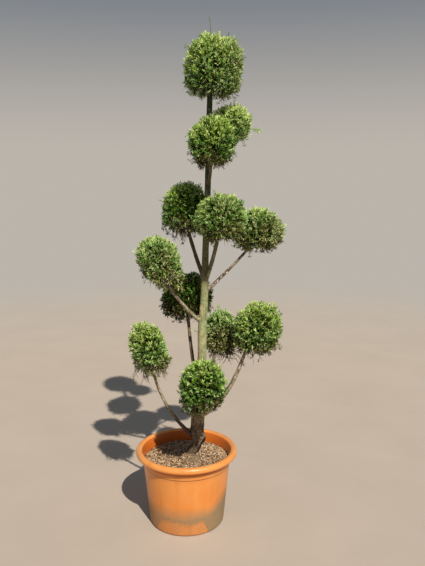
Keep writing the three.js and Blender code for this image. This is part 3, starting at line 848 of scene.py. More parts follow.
def conifer_bark(name, ridge, furrow, flake, algae, flake_size):
    """Fibrous conifer bark: matt, dark in its furrows, with pale flakes and a green bloom of algae."""
    made, tree, surface = new_material(name, roughness=0.88, shine=0.25)
    place = add(tree, "TexCoord", {}, "Object")
    relief = add(tree, "Attribute", {}, "Fac", attribute_name="bark_relief")
    stretched = add(tree, "Mapping", {"Vector": place, "Scale": (repeats(5), repeats(5), repeats(38))})
    streaks = add(tree, "TexNoise", {"Vector": stretched, "Scale": 1, "Detail": 4, "Roughness": 0.6})
    tone = add(tree, "Math", {0: relief, 1: RELIEF_IN_TONE, 2: streaks}, operation="MULTIPLY_ADD")
    tone = add(tree, "MapRange", {"Value": tone, "From Min": 0.15, "From Max": 0.78})
    base = add(tree, "MixRGB", {"Fac": tone, "Color1": linear(furrow), "Color2": linear(ridge)})
    blotches = add(
        tree, "TexNoise", {"Vector": place, "Scale": repeats(flake_size), "Detail": 4, "Roughness": 0.6}
    )
    flakes = add(tree, "MapRange", {"Value": blotches, "From Min": 0.52, "From Max": 0.62})
    flakes = add(tree, "Math", {0: flakes, 1: tone}, operation="MULTIPLY")
    base = add(tree, "MixRGB", {"Fac": flakes, "Color1": base, "Color2": linear(flake)})
    bloom_place = add(tree, "Mapping", {"Vector": place, "Location": (3, 1, 2), "Scale": (repeats(70),) * 3})
    bloom = add(tree, "TexNoise", {"Vector": bloom_place, "Scale": 1, "Detail": 3})
    bloom = add(tree, "MapRange", {"Value": bloom, "From Min": 0.4, "From Max": 0.68, "To Max": 0.6})
    base = add(tree, "MixRGB", {"Fac": bloom, "Color1": base, "Color2": linear(algae)})
    bump = add(tree, "Bump", {"Height": streaks, "Strength": 0.6, "Distance": 0.0008})
    tree.links.new(bump, surface.inputs["Normal"])
    return made, tree, surface, place, base, tone


TONE_IN_STEM = 0.3  # how much of the bark's tone the smooth stem keeps
ALGAE_ON_SUNNY_SIDE = 0.14
ALGAE_BY_HEIGHT = 0.5  # to a metre
BANDS_WANDER = 0.16  # how far the edges between the trunk's stretches wander, in metres


def trunk_material():
    """The bark changes as the trunk rises: purple-brown at the foot, green and tan above it, then
    olive-grey, and dark green as painted shade among the topmost balls. Painted shade also darkens the foot,
    near black under the knee, and pale sun flecks are painted on the knee."""
    made, tree, surface, place, base, tone = conifer_bark(
        "conifer bark, old and fibrous",
        ridge="#86705a",
        furrow="#2a1f1a",
        flake="#b39a77",
        algae="#6d6a41",
        flake_size=16,
    )
    height = add(tree, "SeparateXYZ", {"Vector": place}, "Z")
    # Painted shade: the wet old foot is painted darker still, for the shade the ball in front casts on it.
    damp_and_painted_shade = add(
        tree, "MapRange", {"Value": height, "From Min": 0.34, "From Max": 0.46, "To Min": 0.75, "To Max": 0}
    )
    dark = add(tree, "MixRGB", {"Fac": tone, "Color1": linear("#261d19"), "Color2": linear("#78614f")})
    base = add(tree, "MixRGB", {"Fac": damp_and_painted_shade, "Color1": base, "Color2": dark})
    # Painted light: pale specks on the knee stand for sunlight dappled through the foliage.
    from_knee = add(tree, "Math", {0: height, 1: KNEE_HEIGHT * MM}, operation="SUBTRACT")
    from_knee = add(tree, "Math", {0: from_knee}, operation="ABSOLUTE")
    near_knee = add(
        tree,
        "MapRange",
        {"Value": from_knee, "From Min": 0.016, "From Max": 0.034, "To Min": 1, "To Max": 0},
    )
    specks = add(tree, "TexNoise", {"Vector": place, "Scale": repeats(5), "Detail": 2})
    specks = add(tree, "MapRange", {"Value": specks, "From Min": 0.54, "From Max": 0.62})
    specks = add(tree, "Math", {0: specks, 1: near_knee}, operation="MULTIPLY")
    base = add(tree, "MixRGB", {"Fac": specks, "Color1": base, "Color2": linear("#af9c82")})
    # The smooth stem above is tan with a bloom of algae, which is thicker higher up and on the sunny side.
    edge = add(tree, "TexNoise", {"Vector": place, "Scale": repeats(60), "Detail": 3})
    mottle = add(tree, "TexNoise", {"Vector": place, "Scale": repeats(13), "Detail": 5, "Roughness": 0.65})
    soft = add(tree, "Math", {0: tone, 1: TONE_IN_STEM, 2: mottle}, operation="MULTIPLY_ADD")
    soft = add(tree, "MapRange", {"Value": soft, "From Min": 0.4, "From Max": 0.85})
    tan = add(tree, "MixRGB", {"Fac": soft, "Color1": linear("#8b7a50"), "Color2": linear("#c8b88c")})
    green = add(tree, "MixRGB", {"Fac": soft, "Color1": linear("#666c40"), "Color2": linear("#aab083")})
    facing = add(tree, "NewGeometry", {}, "Normal")
    sunny = add(tree, "SeparateXYZ", {"Vector": facing}, "X")
    growth = add(tree, "Math", {0: sunny, 1: ALGAE_ON_SUNNY_SIDE, 2: edge}, operation="MULTIPLY_ADD")
    growth = add(tree, "Math", {0: height, 1: ALGAE_BY_HEIGHT, 2: growth}, operation="MULTIPLY_ADD")
    growth = add(tree, "MapRange", {"Value": growth, "From Min": 0.78, "From Max": 1.02})
    stem = add(tree, "MixRGB", {"Fac": growth, "Color1": tan, "Color2": green})
    height = add(tree, "Math", {0: edge, 1: BANDS_WANDER, 2: height}, operation="MULTIPLY_ADD")
    above_foot = add(tree, "MapRange", {"Value": height, "From Min": 0.5, "From Max": 0.66})
    base = add(tree, "MixRGB", {"Fac": above_foot, "Color1": base, "Color2": stem})
    # Among the upper balls it turns olive-grey, and in the shade of the topmost ones it is painted dark
    # green as painted shade.
    grey = add(tree, "MixRGB", {"Fac": soft, "Color1": linear("#474329"), "Color2": linear("#85805a")})
    high = add(tree, "MapRange", {"Value": height, "From Min": 1.1, "From Max": 1.16})
    base = add(tree, "MixRGB", {"Fac": high, "Color1": base, "Color2": grey})
    shaded = add(tree, "MixRGB", {"Fac": soft, "Color1": linear("#1d2315"), "Color2": linear("#49523a")})
    top = add(tree, "MapRange", {"Value": height, "From Min": 1.54, "From Max": 1.6})
    base = add(tree, "MixRGB", {"Fac": top, "Color1": base, "Color2": shaded})
    # Painted shadow: under the knee, where the sun doesn't reach, the bark is painted near black.
    hollow = add(tree, "Attribute", {}, "Fac", attribute_name="painted_knee_shadow")
    black = add(tree, "MapRange", {"Value": hollow, "From Min": 0.1, "From Max": 0.9, "To Max": 0.96})
    base = add(tree, "MixRGB", {"Fac": black, "Color1": base, "Color2": linear("#100b08")})
    tree.links.new(base, surface.inputs["Base Color"])
    return made


WHITE_FLAKES_AT = (0.163, 0.053, 1.108)  # the middle of a stretch of bough, in metres


def bough_material(name, **tints):
    """Younger bark that flakes in pale plates. Near the foot it is still dark and wet, and painted shade
    darkens it further.
    """
    made, tree, surface, place, base, tone = conifer_bark(name, flake_size=9, **tints)
    height = add(tree, "SeparateXYZ", {"Vector": place}, "Z")
    # Painted shade: near the foot the bough is painted dark purple-brown, wet bark with the ball's shade
    # painted over it.
    damp_and_painted_shade = add(
        tree, "MapRange", {"Value": height, "From Min": 0.42, "From Max": 0.54, "To Min": 0.85, "To Max": 0}
    )
    dark = add(tree, "MixRGB", {"Fac": tone, "Color1": linear("#251a1b"), "Color2": linear("#5c4a48")})
    base = add(tree, "MixRGB", {"Fac": damp_and_painted_shade, "Color1": base, "Color2": dark})
    # On one stretch of the upper right bough the bark is dark brown with white flakes on it.
    from_flakes = add(tree, "VectorMath", {0: place, 1: WHITE_FLAKES_AT}, "Value", operation="DISTANCE")
    stretch = add(
        tree,
        "MapRange",
        {"Value": from_flakes, "From Min": 0.046, "From Max": 0.062, "To Min": 0.9, "To Max": 0},
    )
    brown = add(tree, "MixRGB", {"Fac": tone, "Color1": linear("#2b1f1a"), "Color2": linear("#6f5747")})
    base = add(tree, "MixRGB", {"Fac": stretch, "Color1": base, "Color2": brown})
    white = add(tree, "TexNoise", {"Vector": place, "Scale": repeats(8), "Detail": 2})
    white = add(tree, "MapRange", {"Value": white, "From Min": 0.55, "From Max": 0.6})
    white = add(tree, "Math", {0: white, 1: stretch}, operation="MULTIPLY")
    base = add(tree, "MixRGB", {"Fac": white, "Color1": base, "Color2": linear("#efe4d4")})
    tree.links.new(base, surface.inputs["Base Color"])
    return made


TRUNK_SIDES = 60
TRUNK_SPACING = 4.2
TRUNK_STEPS = 30  # between two stations
TRUNK_RUNS_ON = 84  # how far it goes on into the top ball, where it thins out
TRUNK_TIP = 0.45
TRUNK_RELIEF = 0.062  # depth of the bark as a share of the radius
TRUNK_FIBRE = (6.5, 58)  # width and length
TRUNK_SEED = 40
ROUGH_BELOW = (110, 250)  # above the foot the bark turns smooth
STEM_RELIEF = 0.4
FLUTE = (22, 120)  # width and length
FLUTE_DEPTH = 0.06
FLUTE_SEED = 47
BOUGH_SIDES = 26
BOUGH_SPACING = 5
BOUGH_STEPS = 60
STEM_STEPS = 12
TIMES_EASED = 6  # how often the corner between bough and stem is rounded
BOUGH_RELIEF = 0.075
BOUGH_FIBRE = (4.2, 34)
BOUGH_SEED = 60
SEEDS_APART = 7
NODE_PITCH = 26  # between the nodes of cut side shoots
NODE_SWELL = 0.06
NODE_SEED = 61
# These boughs stand in the shade of the balls in front of them or above them, and get a darker, greener bark
# as painted shade.
SHADED_BOUGHS = ("mid_back_left", "up_front", "up_back_left", "high_front", "high_back_right")


def trunk_path():
    """The trunk's centre line, from just under the mix to its tip in the top ball."""
    stations = np.stack([FOOT[0] + DRIFTS, np.full(len(RISES), FOOT[1]), MIX["level"] + RISES], axis=1)
    stations = np.vstack([stations, stations[-1] + (1, 0, TRUNK_RUNS_ON)])
    path = smooth_through(stations, TRUNK_STEPS)
    return evenly(path[path[:, 2] > MIX["level"] - TRUNK_BELOW_MIX], TRUNK_SPACING)


def in_hollow(angles, heights):
    """How far each point of the trunk is in the hollow under the knee, from 0 outside to 1 inside."""
    tops, bearings = np.array(HOLLOW_LEFT, float).T
    left = np.interp(heights, tops, bearings)
    bearing = (np.degrees(angles) + 180) % 360 - 180
    from_left = np.clip((bearing - left) / HOLLOW_FADE, 0, 1)
    from_right = np.clip((HOLLOW_RIGHT - bearing) / HOLLOW_FADE, 0, 1)
    return from_left * from_right * ((heights > tops[0] - HOLLOW_BELOW) & (heights < tops[-1]))


def trunk_piece():
    """The trunk with its root flare, knees, furrows and fibres."""
    path = trunk_path()
    rise = path[:, 2] - MIX["level"]
    plain = 0.5 * np.interp(rise, RISES, DIAMETERS)
    angles = np.arange(TRUNK_SIDES) * TURN / TRUNK_SIDES
    flare = FLARE * np.exp(-np.maximum(rise, 0) / FLARE_HEIGHT)[:, None]
    flare = flare * (1 + ROOT_SWELL * np.cos(ROOTS * angles))
    relief = bark_grain(path, plain, TRUNK_SIDES, *TRUNK_FIBRE, TRUNK_SEED)
    relief *= np.interp(rise, ROUGH_BELOW, (1, STEM_RELIEF))[:, None]
    radii = plain[:, None] * (1 + flare + TRUNK_RELIEF * relief)
    # Old wood isn't round: flat sides and shallow flutes wander up the trunk.
    places = ring_places(path, plain, TRUNK_SIDES, *FLUTE)
    radii *= 1 + FLUTE_DEPTH * noise(places, FLUTE_SEED).reshape(radii.shape)
    for height, bearing, width, proud in KNOTS:
        round_off = (np.degrees(angles) - bearing + 180) % 360 - 180
        sideways = np.radians(round_off) * plain[:, None]
        far = (path[:, 2:] - height) ** 2 + sideways**2
        radii += proud * np.exp(-far / (2 * (KNOT_ROUNDING * width) ** 2))
    hollow = in_hollow(angles, path[:, 2:])
    radii -= HOLLOW_DEPTH * hollow
    tip = np.interp(rise, (RISES[-1], RISES[-1] + TRUNK_RUNS_ON), (1, TRUNK_TIP))
    points, faces = swept(path[None], (radii * tip[:, None])[None], TRUNK_SIDES)
    piece = make_piece("trunk_bark", points, faces, [trunk_material()])
    add_mark(piece, "bark_relief", relief)
    add_mark(piece, "painted_knee_shadow", hollow)
    return piece


def bough_paths(cloud):
    """The bough's bend from the trunk to its pompon, and how it carries on inside as the stem."""
    root = trunk_at(cloud["forks"])
    under = math.sqrt(1 - (cloud["inset"] / cloud["wide"]) ** 2)
    tip = cloud["centre"] - cloud["inset"] * cloud["out"]
    tip[2] -= cloud["tall"] * under * BOUGH_END
    elbow = root + cloud["bend"][0] * (tip - root)
    elbow[2] = root[2] + cloud["bend"][1] * (tip[2] - root[2])
    t = np.linspace(0, 1, BOUGH_STEPS)[:, None]
    bend = (1 - t) ** 2 * root + 2 * t * (1 - t) * elbow + t**2 * tip
    stem = tip + np.linspace(0, STEM_SHARE, STEM_STEPS)[1:, None] * (cloud["centre"] - tip)
    whole = evenly(np.vstack([bend, stem]), BOUGH_SPACING)
    for _ in range(TIMES_EASED):
        whole[1:-1] = 0.25 * whole[:-2] + 0.5 * whole[1:-1] + 0.25 * whole[2:]
    return evenly(bend, BOUGH_SPACING), whole


def bough_piece(cloud, number, material):
    """One bough with its collar, flaking bark and the nodes where side shoots were cut off."""
    path = cloud["limb"]
    length = way_along(path)
    share = np.clip(length / cloud["bough_length"], 0, 1)
    plain = cloud["girth"][0] + share * (cloud["girth"][1] - cloud["girth"][0])
    past_tip = np.clip((length - cloud["bough_length"]) / (length[-1] - cloud["bough_length"]), 0, 1)
    plain = plain * (1 + BOUGH_COLLAR * np.exp(-length / BOUGH_COLLAR_LENGTH)) * (1 - BOUGH_THINS * past_tip)
    relief = bark_grain(path, plain, BOUGH_SIDES, *BOUGH_FIBRE, BOUGH_SEED + SEEDS_APART * number)
    nodes = NODE_SWELL * noise(flat_points(length / NODE_PITCH, 0 * length), NODE_SEED + number)
    radii = plain[:, None] * (1 + nodes[:, None] + BOUGH_RELIEF * relief)
    points, faces = swept(path[None], radii[None], BOUGH_SIDES)
    piece = make_piece("bough_bark_" + cloud["name"], points, faces, [material])
    add_mark(piece, "bark_relief", relief)
    return piece


for cloud in POMPONS:
    cloud["out"] = heading(cloud["bearing"])
    cloud["centre"] = trunk_at(cloud["height"]) + cloud["reach"] * cloud["out"]
    cloud["centre"][2] = cloud["height"]

belongs(trunk_piece(), "bark", "trunk")
flaking_bark = bough_material(
    "conifer bark, young and flaking", ridge="#9c8a72", furrow="#43342b", flake="#e9e0cf", algae="#85825c"
)
# A darker, greener copy of the young bark, as painted shade for the boughs in shade.
shaded_bark = bough_material(
    "conifer bark, young and shaded", ridge="#7d6f5a", furrow="#33291f", flake="#9c9177", algae="#5f5f3c"
)
carried = [cloud for cloud in POMPONS if "forks" in cloud]
for number, cloud in enumerate(carried):
    cloud["bough"], cloud["limb"] = bough_paths(cloud)
    cloud["bough_length"] = np.linalg.norm(np.diff(cloud["bough"], axis=0), axis=1).sum()
    bark = shaded_bark if cloud["name"] in SHADED_BOUGHS else flaking_bark
    belongs(bough_piece(cloud, number, bark), "bark", "bough_" + cloud["name"])

# Hearts of the pompons
# Inside each ball the foliage is dead and packed with twigs, because the clipped shell keeps the light out.
# Each heart is a rough, near-black mass well under the shell, painted shade for the ball's dark inside, and
# it reaches less far down where the ball is bare.

LUMPS = 8
LUMP_HEIGHT = 0.07
LUMP_SHARPNESS = 7
FIRST_SEED = 101
STREAM_STEP = 0x6D2B79F5
STREAM_SHIFTS = (15, 7, 14)
STREAM_BITS = 61
HEART_SHARE = 0.7
HEART_SHARE_BELOW = 0.5
HEART_LOW_FROM = -0.2  # the sine of the climb under which it shrinks
HEART_LOW_SPAN = 0.6
HEART_DETAIL = 4
HEART_ROUGHNESS = 0.07
HEART_BUMPS = (5, 12)  # coarse and fine ones along a radius
HEART_FINE_SHARE = 0.7
HEART_SEED = 200


def seeded(seed):
    """The part's own repeatable stream of numbers from 0 to 1."""
    state = seed
    while True:
        state = (state + STREAM_STEP) & MASK
        mixed = ((state ^ (state >> STREAM_SHIFTS[0])) * (state | 1)) & MASK
        mixed ^= (mixed + (((mixed ^ (mixed >> STREAM_SHIFTS[1])) * (mixed | STREAM_BITS)) & MASK)) & MASK
        yield (mixed ^ (mixed >> STREAM_SHIFTS[2])) / (MASK + 1)


def outline(cloud, directions):
    """Distances from a pompon's centre to its clipped outline along unit vectors."""
    local = directions @ cloud["upright"].T
    power = cloud.get("boxy", 2)
    level = np.hypot(local[:, 0], local[:, 1]) / cloud["wide"]
    ball = (level**power + np.abs(local[:, 2] / cloud["tall"]) ** power) ** (-1 / power)
    swell = np.full(len(directions), 1 - 0.5 * LUMP_HEIGHT)
    for bulge in cloud["bulges"]:
        swell += LUMP_HEIGHT * np.exp(LUMP_SHARPNESS * (directions @ bulge - 1))
    for bearing, climb, height, sharpness in cloud.get("forms", []):
        swell += height * np.exp(sharpness * (directions @ heading(bearing, climb) - 1))
    return ball * swell


def points_out(cloud, directions, shares):
    """Points on rays out of a pompon's centre, at shares of the way to its outline."""
    return cloud["centre"] + directions * (shares * outline(cloud, directions))[:, None]


def dead_foliage_in_painted_shade():
    """Dead inner foliage and twigs, brown and nearly black between them, painted dark as the shade inside
    the
    ball: matt, with no shine at all.
    """
    made, tree, surface = new_material("dead conifer foliage, dry", roughness=0.95, shine=0.05)
    place = add(tree, "TexCoord", {}, "Object")
    litter = add(tree, "TexNoise", {"Vector": place, "Scale": repeats(9), "Detail": 4, "Roughness": 0.7})
    lit = add(tree, "MapRange", {"Value": litter, "From Min": 0.4, "From Max": 0.7})
    base = add(tree, "MixRGB", {"Fac": lit, "Color1": linear("#111504"), "Color2": linear("#30330e")})
    tree.links.new(base, surface.inputs["Base Color"])
    return made


def heart_piece(cloud, material):
    """A ball of even triangles, pushed out to its share of the outline and roughened."""
    ball = bpy.data.meshes.new("ball")
    shaper = bmesh.new()
    bmesh.ops.create_icosphere(shaper, subdivisions=HEART_DETAIL, radius=1)
    shaper.to_mesh(ball)
    shaper.free()
    directions = np.empty(3 * len(ball.vertices))
    ball.vertices.foreach_get("co", directions)
    directions = unit(directions.reshape(-1, 3))
    faces = np.empty(3 * len(ball.polygons), np.int32)
    ball.polygons.foreach_get("vertices", faces)
    bpy.data.meshes.remove(ball)
    low = np.clip((HEART_LOW_FROM - directions[:, 2]) / HEART_LOW_SPAN, 0, 1)
    shares = HEART_SHARE + (HEART_SHARE_BELOW - HEART_SHARE) * low
    coarse, fine = (noise(directions * bumps, HEART_SEED + cloud["number"]) for bumps in HEART_BUMPS)
    shares += HEART_ROUGHNESS * (coarse + HEART_FINE_SHARE * fine)
    points = points_out(cloud, directions, shares)
    return make_piece("heart_" + cloud["name"], points, faces.reshape(-1, 3), [material])


for number, cloud in enumerate(POMPONS):
    random = seeded(FIRST_SEED + number)
    cloud["number"] = number
    lean = Matrix.Rotation(-math.radians(cloud["lean"]), 3, Vector((0, 0, 1)).cross(Vector(cloud["out"])))
    cloud["upright"] = np.array(lean)
    draws = [(next(random), next(random)) for _ in range(LUMPS)]
    cloud["bulges"] = [heading(360 * turn, math.degrees(math.asin(2 * climb - 1))) for turn, climb in draws]

dead = dead_foliage_in_painted_shade()
for cloud in POMPONS:
    belongs(heart_piece(cloud, dead), "foliage")

# Twigs
# Thin brown wood. In each ball the stem forks into main twigs, those into finer ones, and each of these ends
# in a tuft of foliage. Below, bare twigs that lost their light hang out of the shell.

GOLDEN_TURN = 0.381966 * TURN
TUFT_SPACING = 14.5
TUFT_LOWEST = -0.94  # how far down the ball tufts grow, as the sine of the climb
TUFT_LENGTH = (28, 44)
TUFT_STRAYS = 0.32  # how far a tuft lies off its even place, in spacings
TUFT_TIPS_AT = 0.985  # shares of the way to the outline
TUFT_UNEVEN = 0.042
TUFT_SHORT_BELOW = 0.06
TUFT_CLUMPS = 0.045
CLUMPS = 3.4  # along a radius
CLUMP_SEED = 300
POINTS_OUT = (0.85, 0.3)  # how far a tuft points outwards, and how much less at the underside
POINTS_UP = (0.28, 0.6)
POINTS_ANYWHERE = 0.34
MISSING_BELOW = 0.45
BARE_FROM = -0.45  # below this sine the shell thins out
SIZE_RAYS = 200  # that measure a ball
EVEN_POWER = 2 / 3
MAIN_TWIGS = 12
MAIN_REACH = 0.34
FINE_TWIGS = 70
FINE_REACH = 0.62
FINE_STRAYS = 0.08
STEM_PAST_CENTRE = 0.1
STEM_STEPS_INSIDE = 5
STEM_BEND = 0.05
TWIG_SIDES = 3
TWIG_STEPS = 4
TWIG_BEND = 0.1
TWIG_SEED = 400
STEM_RADIUS = (4.6, 2.6)
MAIN_RADIUS = (2.8, 1.6)
FINE_RADIUS = (1.7, 1.0)
TUFT_RADIUS = (1.0, 0.6)
FRINGE_CLIMBS = (-0.97, -0.3)  # the part of the ball where it hangs, as sines
FRINGE_REACH = 0.96
FRINGE_HANGS = 0.2  # how much further it reaches straight down
FRINGE_RADIUS = (1.7, 0.8)
FRINGE_STEPS = 5
FRINGE_BEND = 0.16
SIDE_TWIGS = 5
SIDE_TWIGS_AT = (0.35, 0.95)  # shares of their twig
SIDE_TWIG_SPREAD = 0.8
SIDE_TWIG_LENGTH = (9, 24)
SIDE_TWIG_RADIUS = (0.9, 0.45)
SIDE_TWIG_STEPS = 3
SIDE_TWIG_BEND = 0.12
SPARSE_TUFT_LENGTH = (9, 15)
SPARSE_TUFT_ROOT = 0.8  # how much of it lies back along its side twig
SIDE_TWIG_LEAFY = 0.18
WOOD_ROOM = 7  # how far sprays keep from bark
OTHERS_SHARE = 0.97  # the part of another ball that is kept clear


def round_the_axis(turns, climbs):
    """Unit vectors from their turns in radians and the sines of their climbs."""
    level = np.sqrt(1 - climbs**2)
    return np.stack([level * np.cos(turns), level * np.sin(turns), climbs], axis=1)


def spread(count, lowest=-1.0):
    """Unit vectors spread evenly over a ball on a golden spiral, from its top down to a lowest sine."""
    steps = np.arange(count) + 0.5
    climb = 1 - (1 - lowest) * steps / count
    return round_the_axis(steps * GOLDEN_TURN, climb)


def any_directions(random, count):
    """Unit vectors that point anywhere."""
    return unit(random.normal(size=(count, 3)))


def bent(random, starts, ends, thickness, steps=TWIG_STEPS, bend=TWIG_BEND):
    """Paths between points with a bend of their own, and the radii along them."""
    t = np.linspace(0, 1, steps)[None, :, None]
    way = ends - starts
    off = np.cross(way, any_directions(random, len(starts)))[:, None]
    paths = starts[:, None] + t * way[:, None] + bend * np.sin(math.pi * t) * off
    radii = thickness[0] + (thickness[1] - thickness[0]) * np.repeat(t[..., 0], len(starts), axis=0)
    return paths, radii


def nearest(points, targets):
    """The target nearest to each point."""
    far = np.linalg.norm(points[:, None] - targets[None], axis=2)
    return targets[far.argmin(axis=1)]


def clear_of_wood(points):
    """True where a point keeps its room from the trunk and every bough."""
    marks = [(trunk_path(), 0.5 * DIAMETERS[-1])]
    marks += [(cloud["limb"], cloud["girth"][1]) for cloud in carried]
    clear = np.ones(len(points), bool)
    for path, radius in marks:
        clear &= np.linalg.norm(points[:, None] - path[None], axis=2).min(axis=1) > radius + WOOD_ROOM
    return clear


def clear_of_others(cloud, points):
    """True where a point is outside all other pompons."""
    clear = np.ones(len(points), bool)
    for other in POMPONS:
        if other is not cloud:
            offset = points - other["centre"]
            distance = np.linalg.norm(offset, axis=1)
            clear &= distance > OTHERS_SHARE * outline(other, offset / distance[:, None])
    return clear


def place_tufts(cloud, random):
    """Where each tuft of a pompon starts, the way it points and its length."""
    size = math.sqrt((outline(cloud, spread(SIZE_RAYS)) ** 2).mean())
    count = round(TURN * (1 - TUFT_LOWEST) * size**2 / TUFT_SPACING**2)
    directions = spread(count, TUFT_LOWEST)
    directions += TUFT_STRAYS * TUFT_SPACING / size * random.normal(size=(count, 3))
    # A tall ball needs its tufts closer together in direction at its ends, to lie evenly on its surface.
    directions[:, 2] *= (cloud["tall"] / cloud["wide"]) ** EVEN_POWER
    directions = unit(directions @ cloud["upright"])
    low = np.clip((BARE_FROM - directions[:, 2]) / (1 + BARE_FROM), 0, 1)
    shares = TUFT_TIPS_AT + TUFT_UNEVEN * random.normal(size=count) - TUFT_SHORT_BELOW * low
    shares += TUFT_CLUMPS * noise(directions * CLUMPS, CLUMP_SEED + cloud["number"])
    tips = points_out(cloud, directions, shares)
    radial = directions * (POINTS_OUT[0] - POINTS_OUT[1] * low)[:, None]
    rise = np.stack([0 * low, 0 * low, POINTS_UP[0] - POINTS_UP[1] * low], axis=1)
    points = unit(radial + POINTS_ANYWHERE * random.normal(size=(count, 3)) + rise)
    lengths = random.uniform(*TUFT_LENGTH, count)
    keep = random.random(count) > MISSING_BELOW * low
    keep &= clear_of_wood(tips) & clear_of_others(cloud, tips)
    starts = tips - points * lengths[:, None]
    return {"start": starts[keep], "way": points[keep], "length": lengths[keep], "at": directions[keep]}


def side_twigs(random, paths):
    """Side twigs along bent twigs, one on each at a time: their roots, the ways they point, their tips."""
    for share in np.linspace(*SIDE_TWIGS_AT, SIDE_TWIGS):
        at = share * (paths.shape[1] - 1)
        low = int(at)
        roots = paths[:, low] + (at - low) * (paths[:, low + 1] - paths[:, low])
        ahead = unit(paths[:, -1] - paths[:, 0])
        ways = unit(ahead + SIDE_TWIG_SPREAD * any_directions(random, len(roots)))
        yield roots, ways, roots + ways * random.uniform(*SIDE_TWIG_LENGTH, (len(roots), 1))


def fringe(cloud, random, fine_ends):
    """Bare twigs that hang out under a pompon, each with side twigs. Gives the wood and a few tufts."""
    count = cloud["fringe"]
    climb = random.uniform(*FRINGE_CLIMBS, count)
    directions = round_the_axis(TURN * random.random(count), climb)
    ends = points_out(cloud, directions, FRINGE_REACH - FRINGE_HANGS * climb * random.random(count))
    starts = nearest(points_out(cloud, directions, np.full(count, FINE_REACH)), fine_ends)
    clear = clear_of_wood(ends) & clear_of_others(cloud, ends)
    paths, radii = bent(random, starts[clear], ends[clear], FRINGE_RADIUS, FRINGE_STEPS, FRINGE_BEND)
    sides = []
    tufts = []
    for roots, ways, tips in side_twigs(random, paths):
        sides.append(bent(random, roots, tips, SIDE_TWIG_RADIUS, SIDE_TWIG_STEPS, SIDE_TWIG_BEND))
        leafy = (random.random(len(roots)) < SIDE_TWIG_LEAFY) & clear_of_wood(tips)
        length = random.uniform(*SPARSE_TUFT_LENGTH, leafy.sum())
        starts = tips[leafy] - SPARSE_TUFT_ROOT * ways[leafy] * length[:, None]
        tufts.append((starts, ways[leafy], length, directions[clear][leafy]))
    return [(paths, radii), *sides], [np.concatenate(parts) for parts in zip(*tufts)]


def twigs_of(cloud, random, tufts):
    """All the wood inside a pompon, from its stem to its tufts, with the fringe. The fringe's few tufts join
    the others."""
    centre = cloud["centre"][None]
    below = cloud["limb"][-1:] if "limb" in cloud else trunk_path()[-1:]
    above = centre + STEM_PAST_CENTRE * (centre - below)
    stem = bent(random, below, above, STEM_RADIUS, STEM_STEPS_INSIDE, STEM_BEND)
    main_directions = spread(MAIN_TWIGS)
    main_ends = points_out(cloud, main_directions, np.full(MAIN_TWIGS, MAIN_REACH))
    main = bent(random, nearest(main_ends, stem[0][0]), main_ends, MAIN_RADIUS)
    fine_directions = unit(spread(FINE_TWIGS) + FINE_STRAYS * random.normal(size=(FINE_TWIGS, 3)))
    fine_ends = points_out(cloud, fine_directions, np.full(FINE_TWIGS, FINE_REACH))
    fine = bent(random, nearest(fine_ends, main_ends), fine_ends, FINE_RADIUS)
    last = bent(random, nearest(tufts["start"], fine_ends), tufts["start"], TUFT_RADIUS, steps=2, bend=0)
    hanging, sparse = fringe(cloud, random, fine_ends)
    for key, more in zip(("start", "way", "length", "at"), sparse):
        tufts[key] = np.concatenate([tufts[key], more])
    return [stem, main, fine, last, *hanging]


def joined(groups):
    """Several groups of points and faces as one."""
    points = []
    faces = []
    total = 0
    for group_points, group_faces in groups:
        points.append(group_points)
        faces.append(group_faces + total)
        total += len(group_points)
    return np.vstack(points), np.vstack(faces)


def twig_bark():
    """Thin brown bark, smooth and slightly glossy where it is young."""
    made, tree, surface = new_material("conifer twig bark, smooth and brown", roughness=0.7, shine=0.3)
    place = add(tree, "TexCoord", {}, "Object")
    patches = add(tree, "TexNoise", {"Vector": place, "Scale": repeats(14), "Detail": 3})
    base = add(tree, "MixRGB", {"Fac": patches, "Color1": linear("#33261a"), "Color2": linear("#7a6145")})
    tree.links.new(base, surface.inputs["Base Color"])
    return made


twig_material = twig_bark()
for cloud in POMPONS:
    random = np.random.default_rng(TWIG_SEED + cloud["number"])
    cloud["tufts"] = place_tufts(cloud, random)
    groups = [swept(paths, radii, TWIG_SIDES) for paths, radii in twigs_of(cloud, random, cloud["tufts"])]
    twigs = make_piece("twigs_" + cloud["name"], *joined(groups), [twig_material])
    belongs(twigs, "bark")

# Sprays
# Soft flat fans of scale leaves, in tufts round the ends of the twigs. The young growth on the sunny tops is
# yellow-green, older growth deep green and the underside olive-grey. Some patches have browned, and a few
# sprays have died. Light and shade are also painted into the sprays: paler on the tops, at the tufts' tips
# and on the sunnier balls, darker deep in the tufts and on the shaded balls, and the palest are painted
# sheen.

SPRAYS_IN_TUFT = 11
SPRAYS_ALONG = (0.06, 0.7)  # shares of the twig where the side sprays sit
SPRAY_ANGLES = (52, 26)  # how far they stand off, from the twig's root to its tip
SPRAY_ANGLE_LUCK = 13
SPRAY_ROLL_LUCK = 50
LAST_SPRAY_AT = 0.5
LAST_SPRAY_ANGLE = 10
SPRAY_LENGTH = 18
SPRAY_LENGTHS = (0.75, 1.25)
SPRAY_PAST_TUFT = (1.1, 4)  # how far it may reach: a share of what is left of the tuft, and so much more
SPRAY_TILT = 0.6
SPRAY_DROOPS = (-0.1, 0.22)
SPRAY_SEED = 600
BRANCHLETS = 4
BLADE_WIDTH = 0.12  # of the spray's length
BLADE_FOLD = 0.03
FIRST_BRANCHLET = 0.16
BRANCHLET_STEP = 0.16
BRANCHLET_ANGLE = 23
BRANCHLET_LENGTHS = (0.4, 0.24)
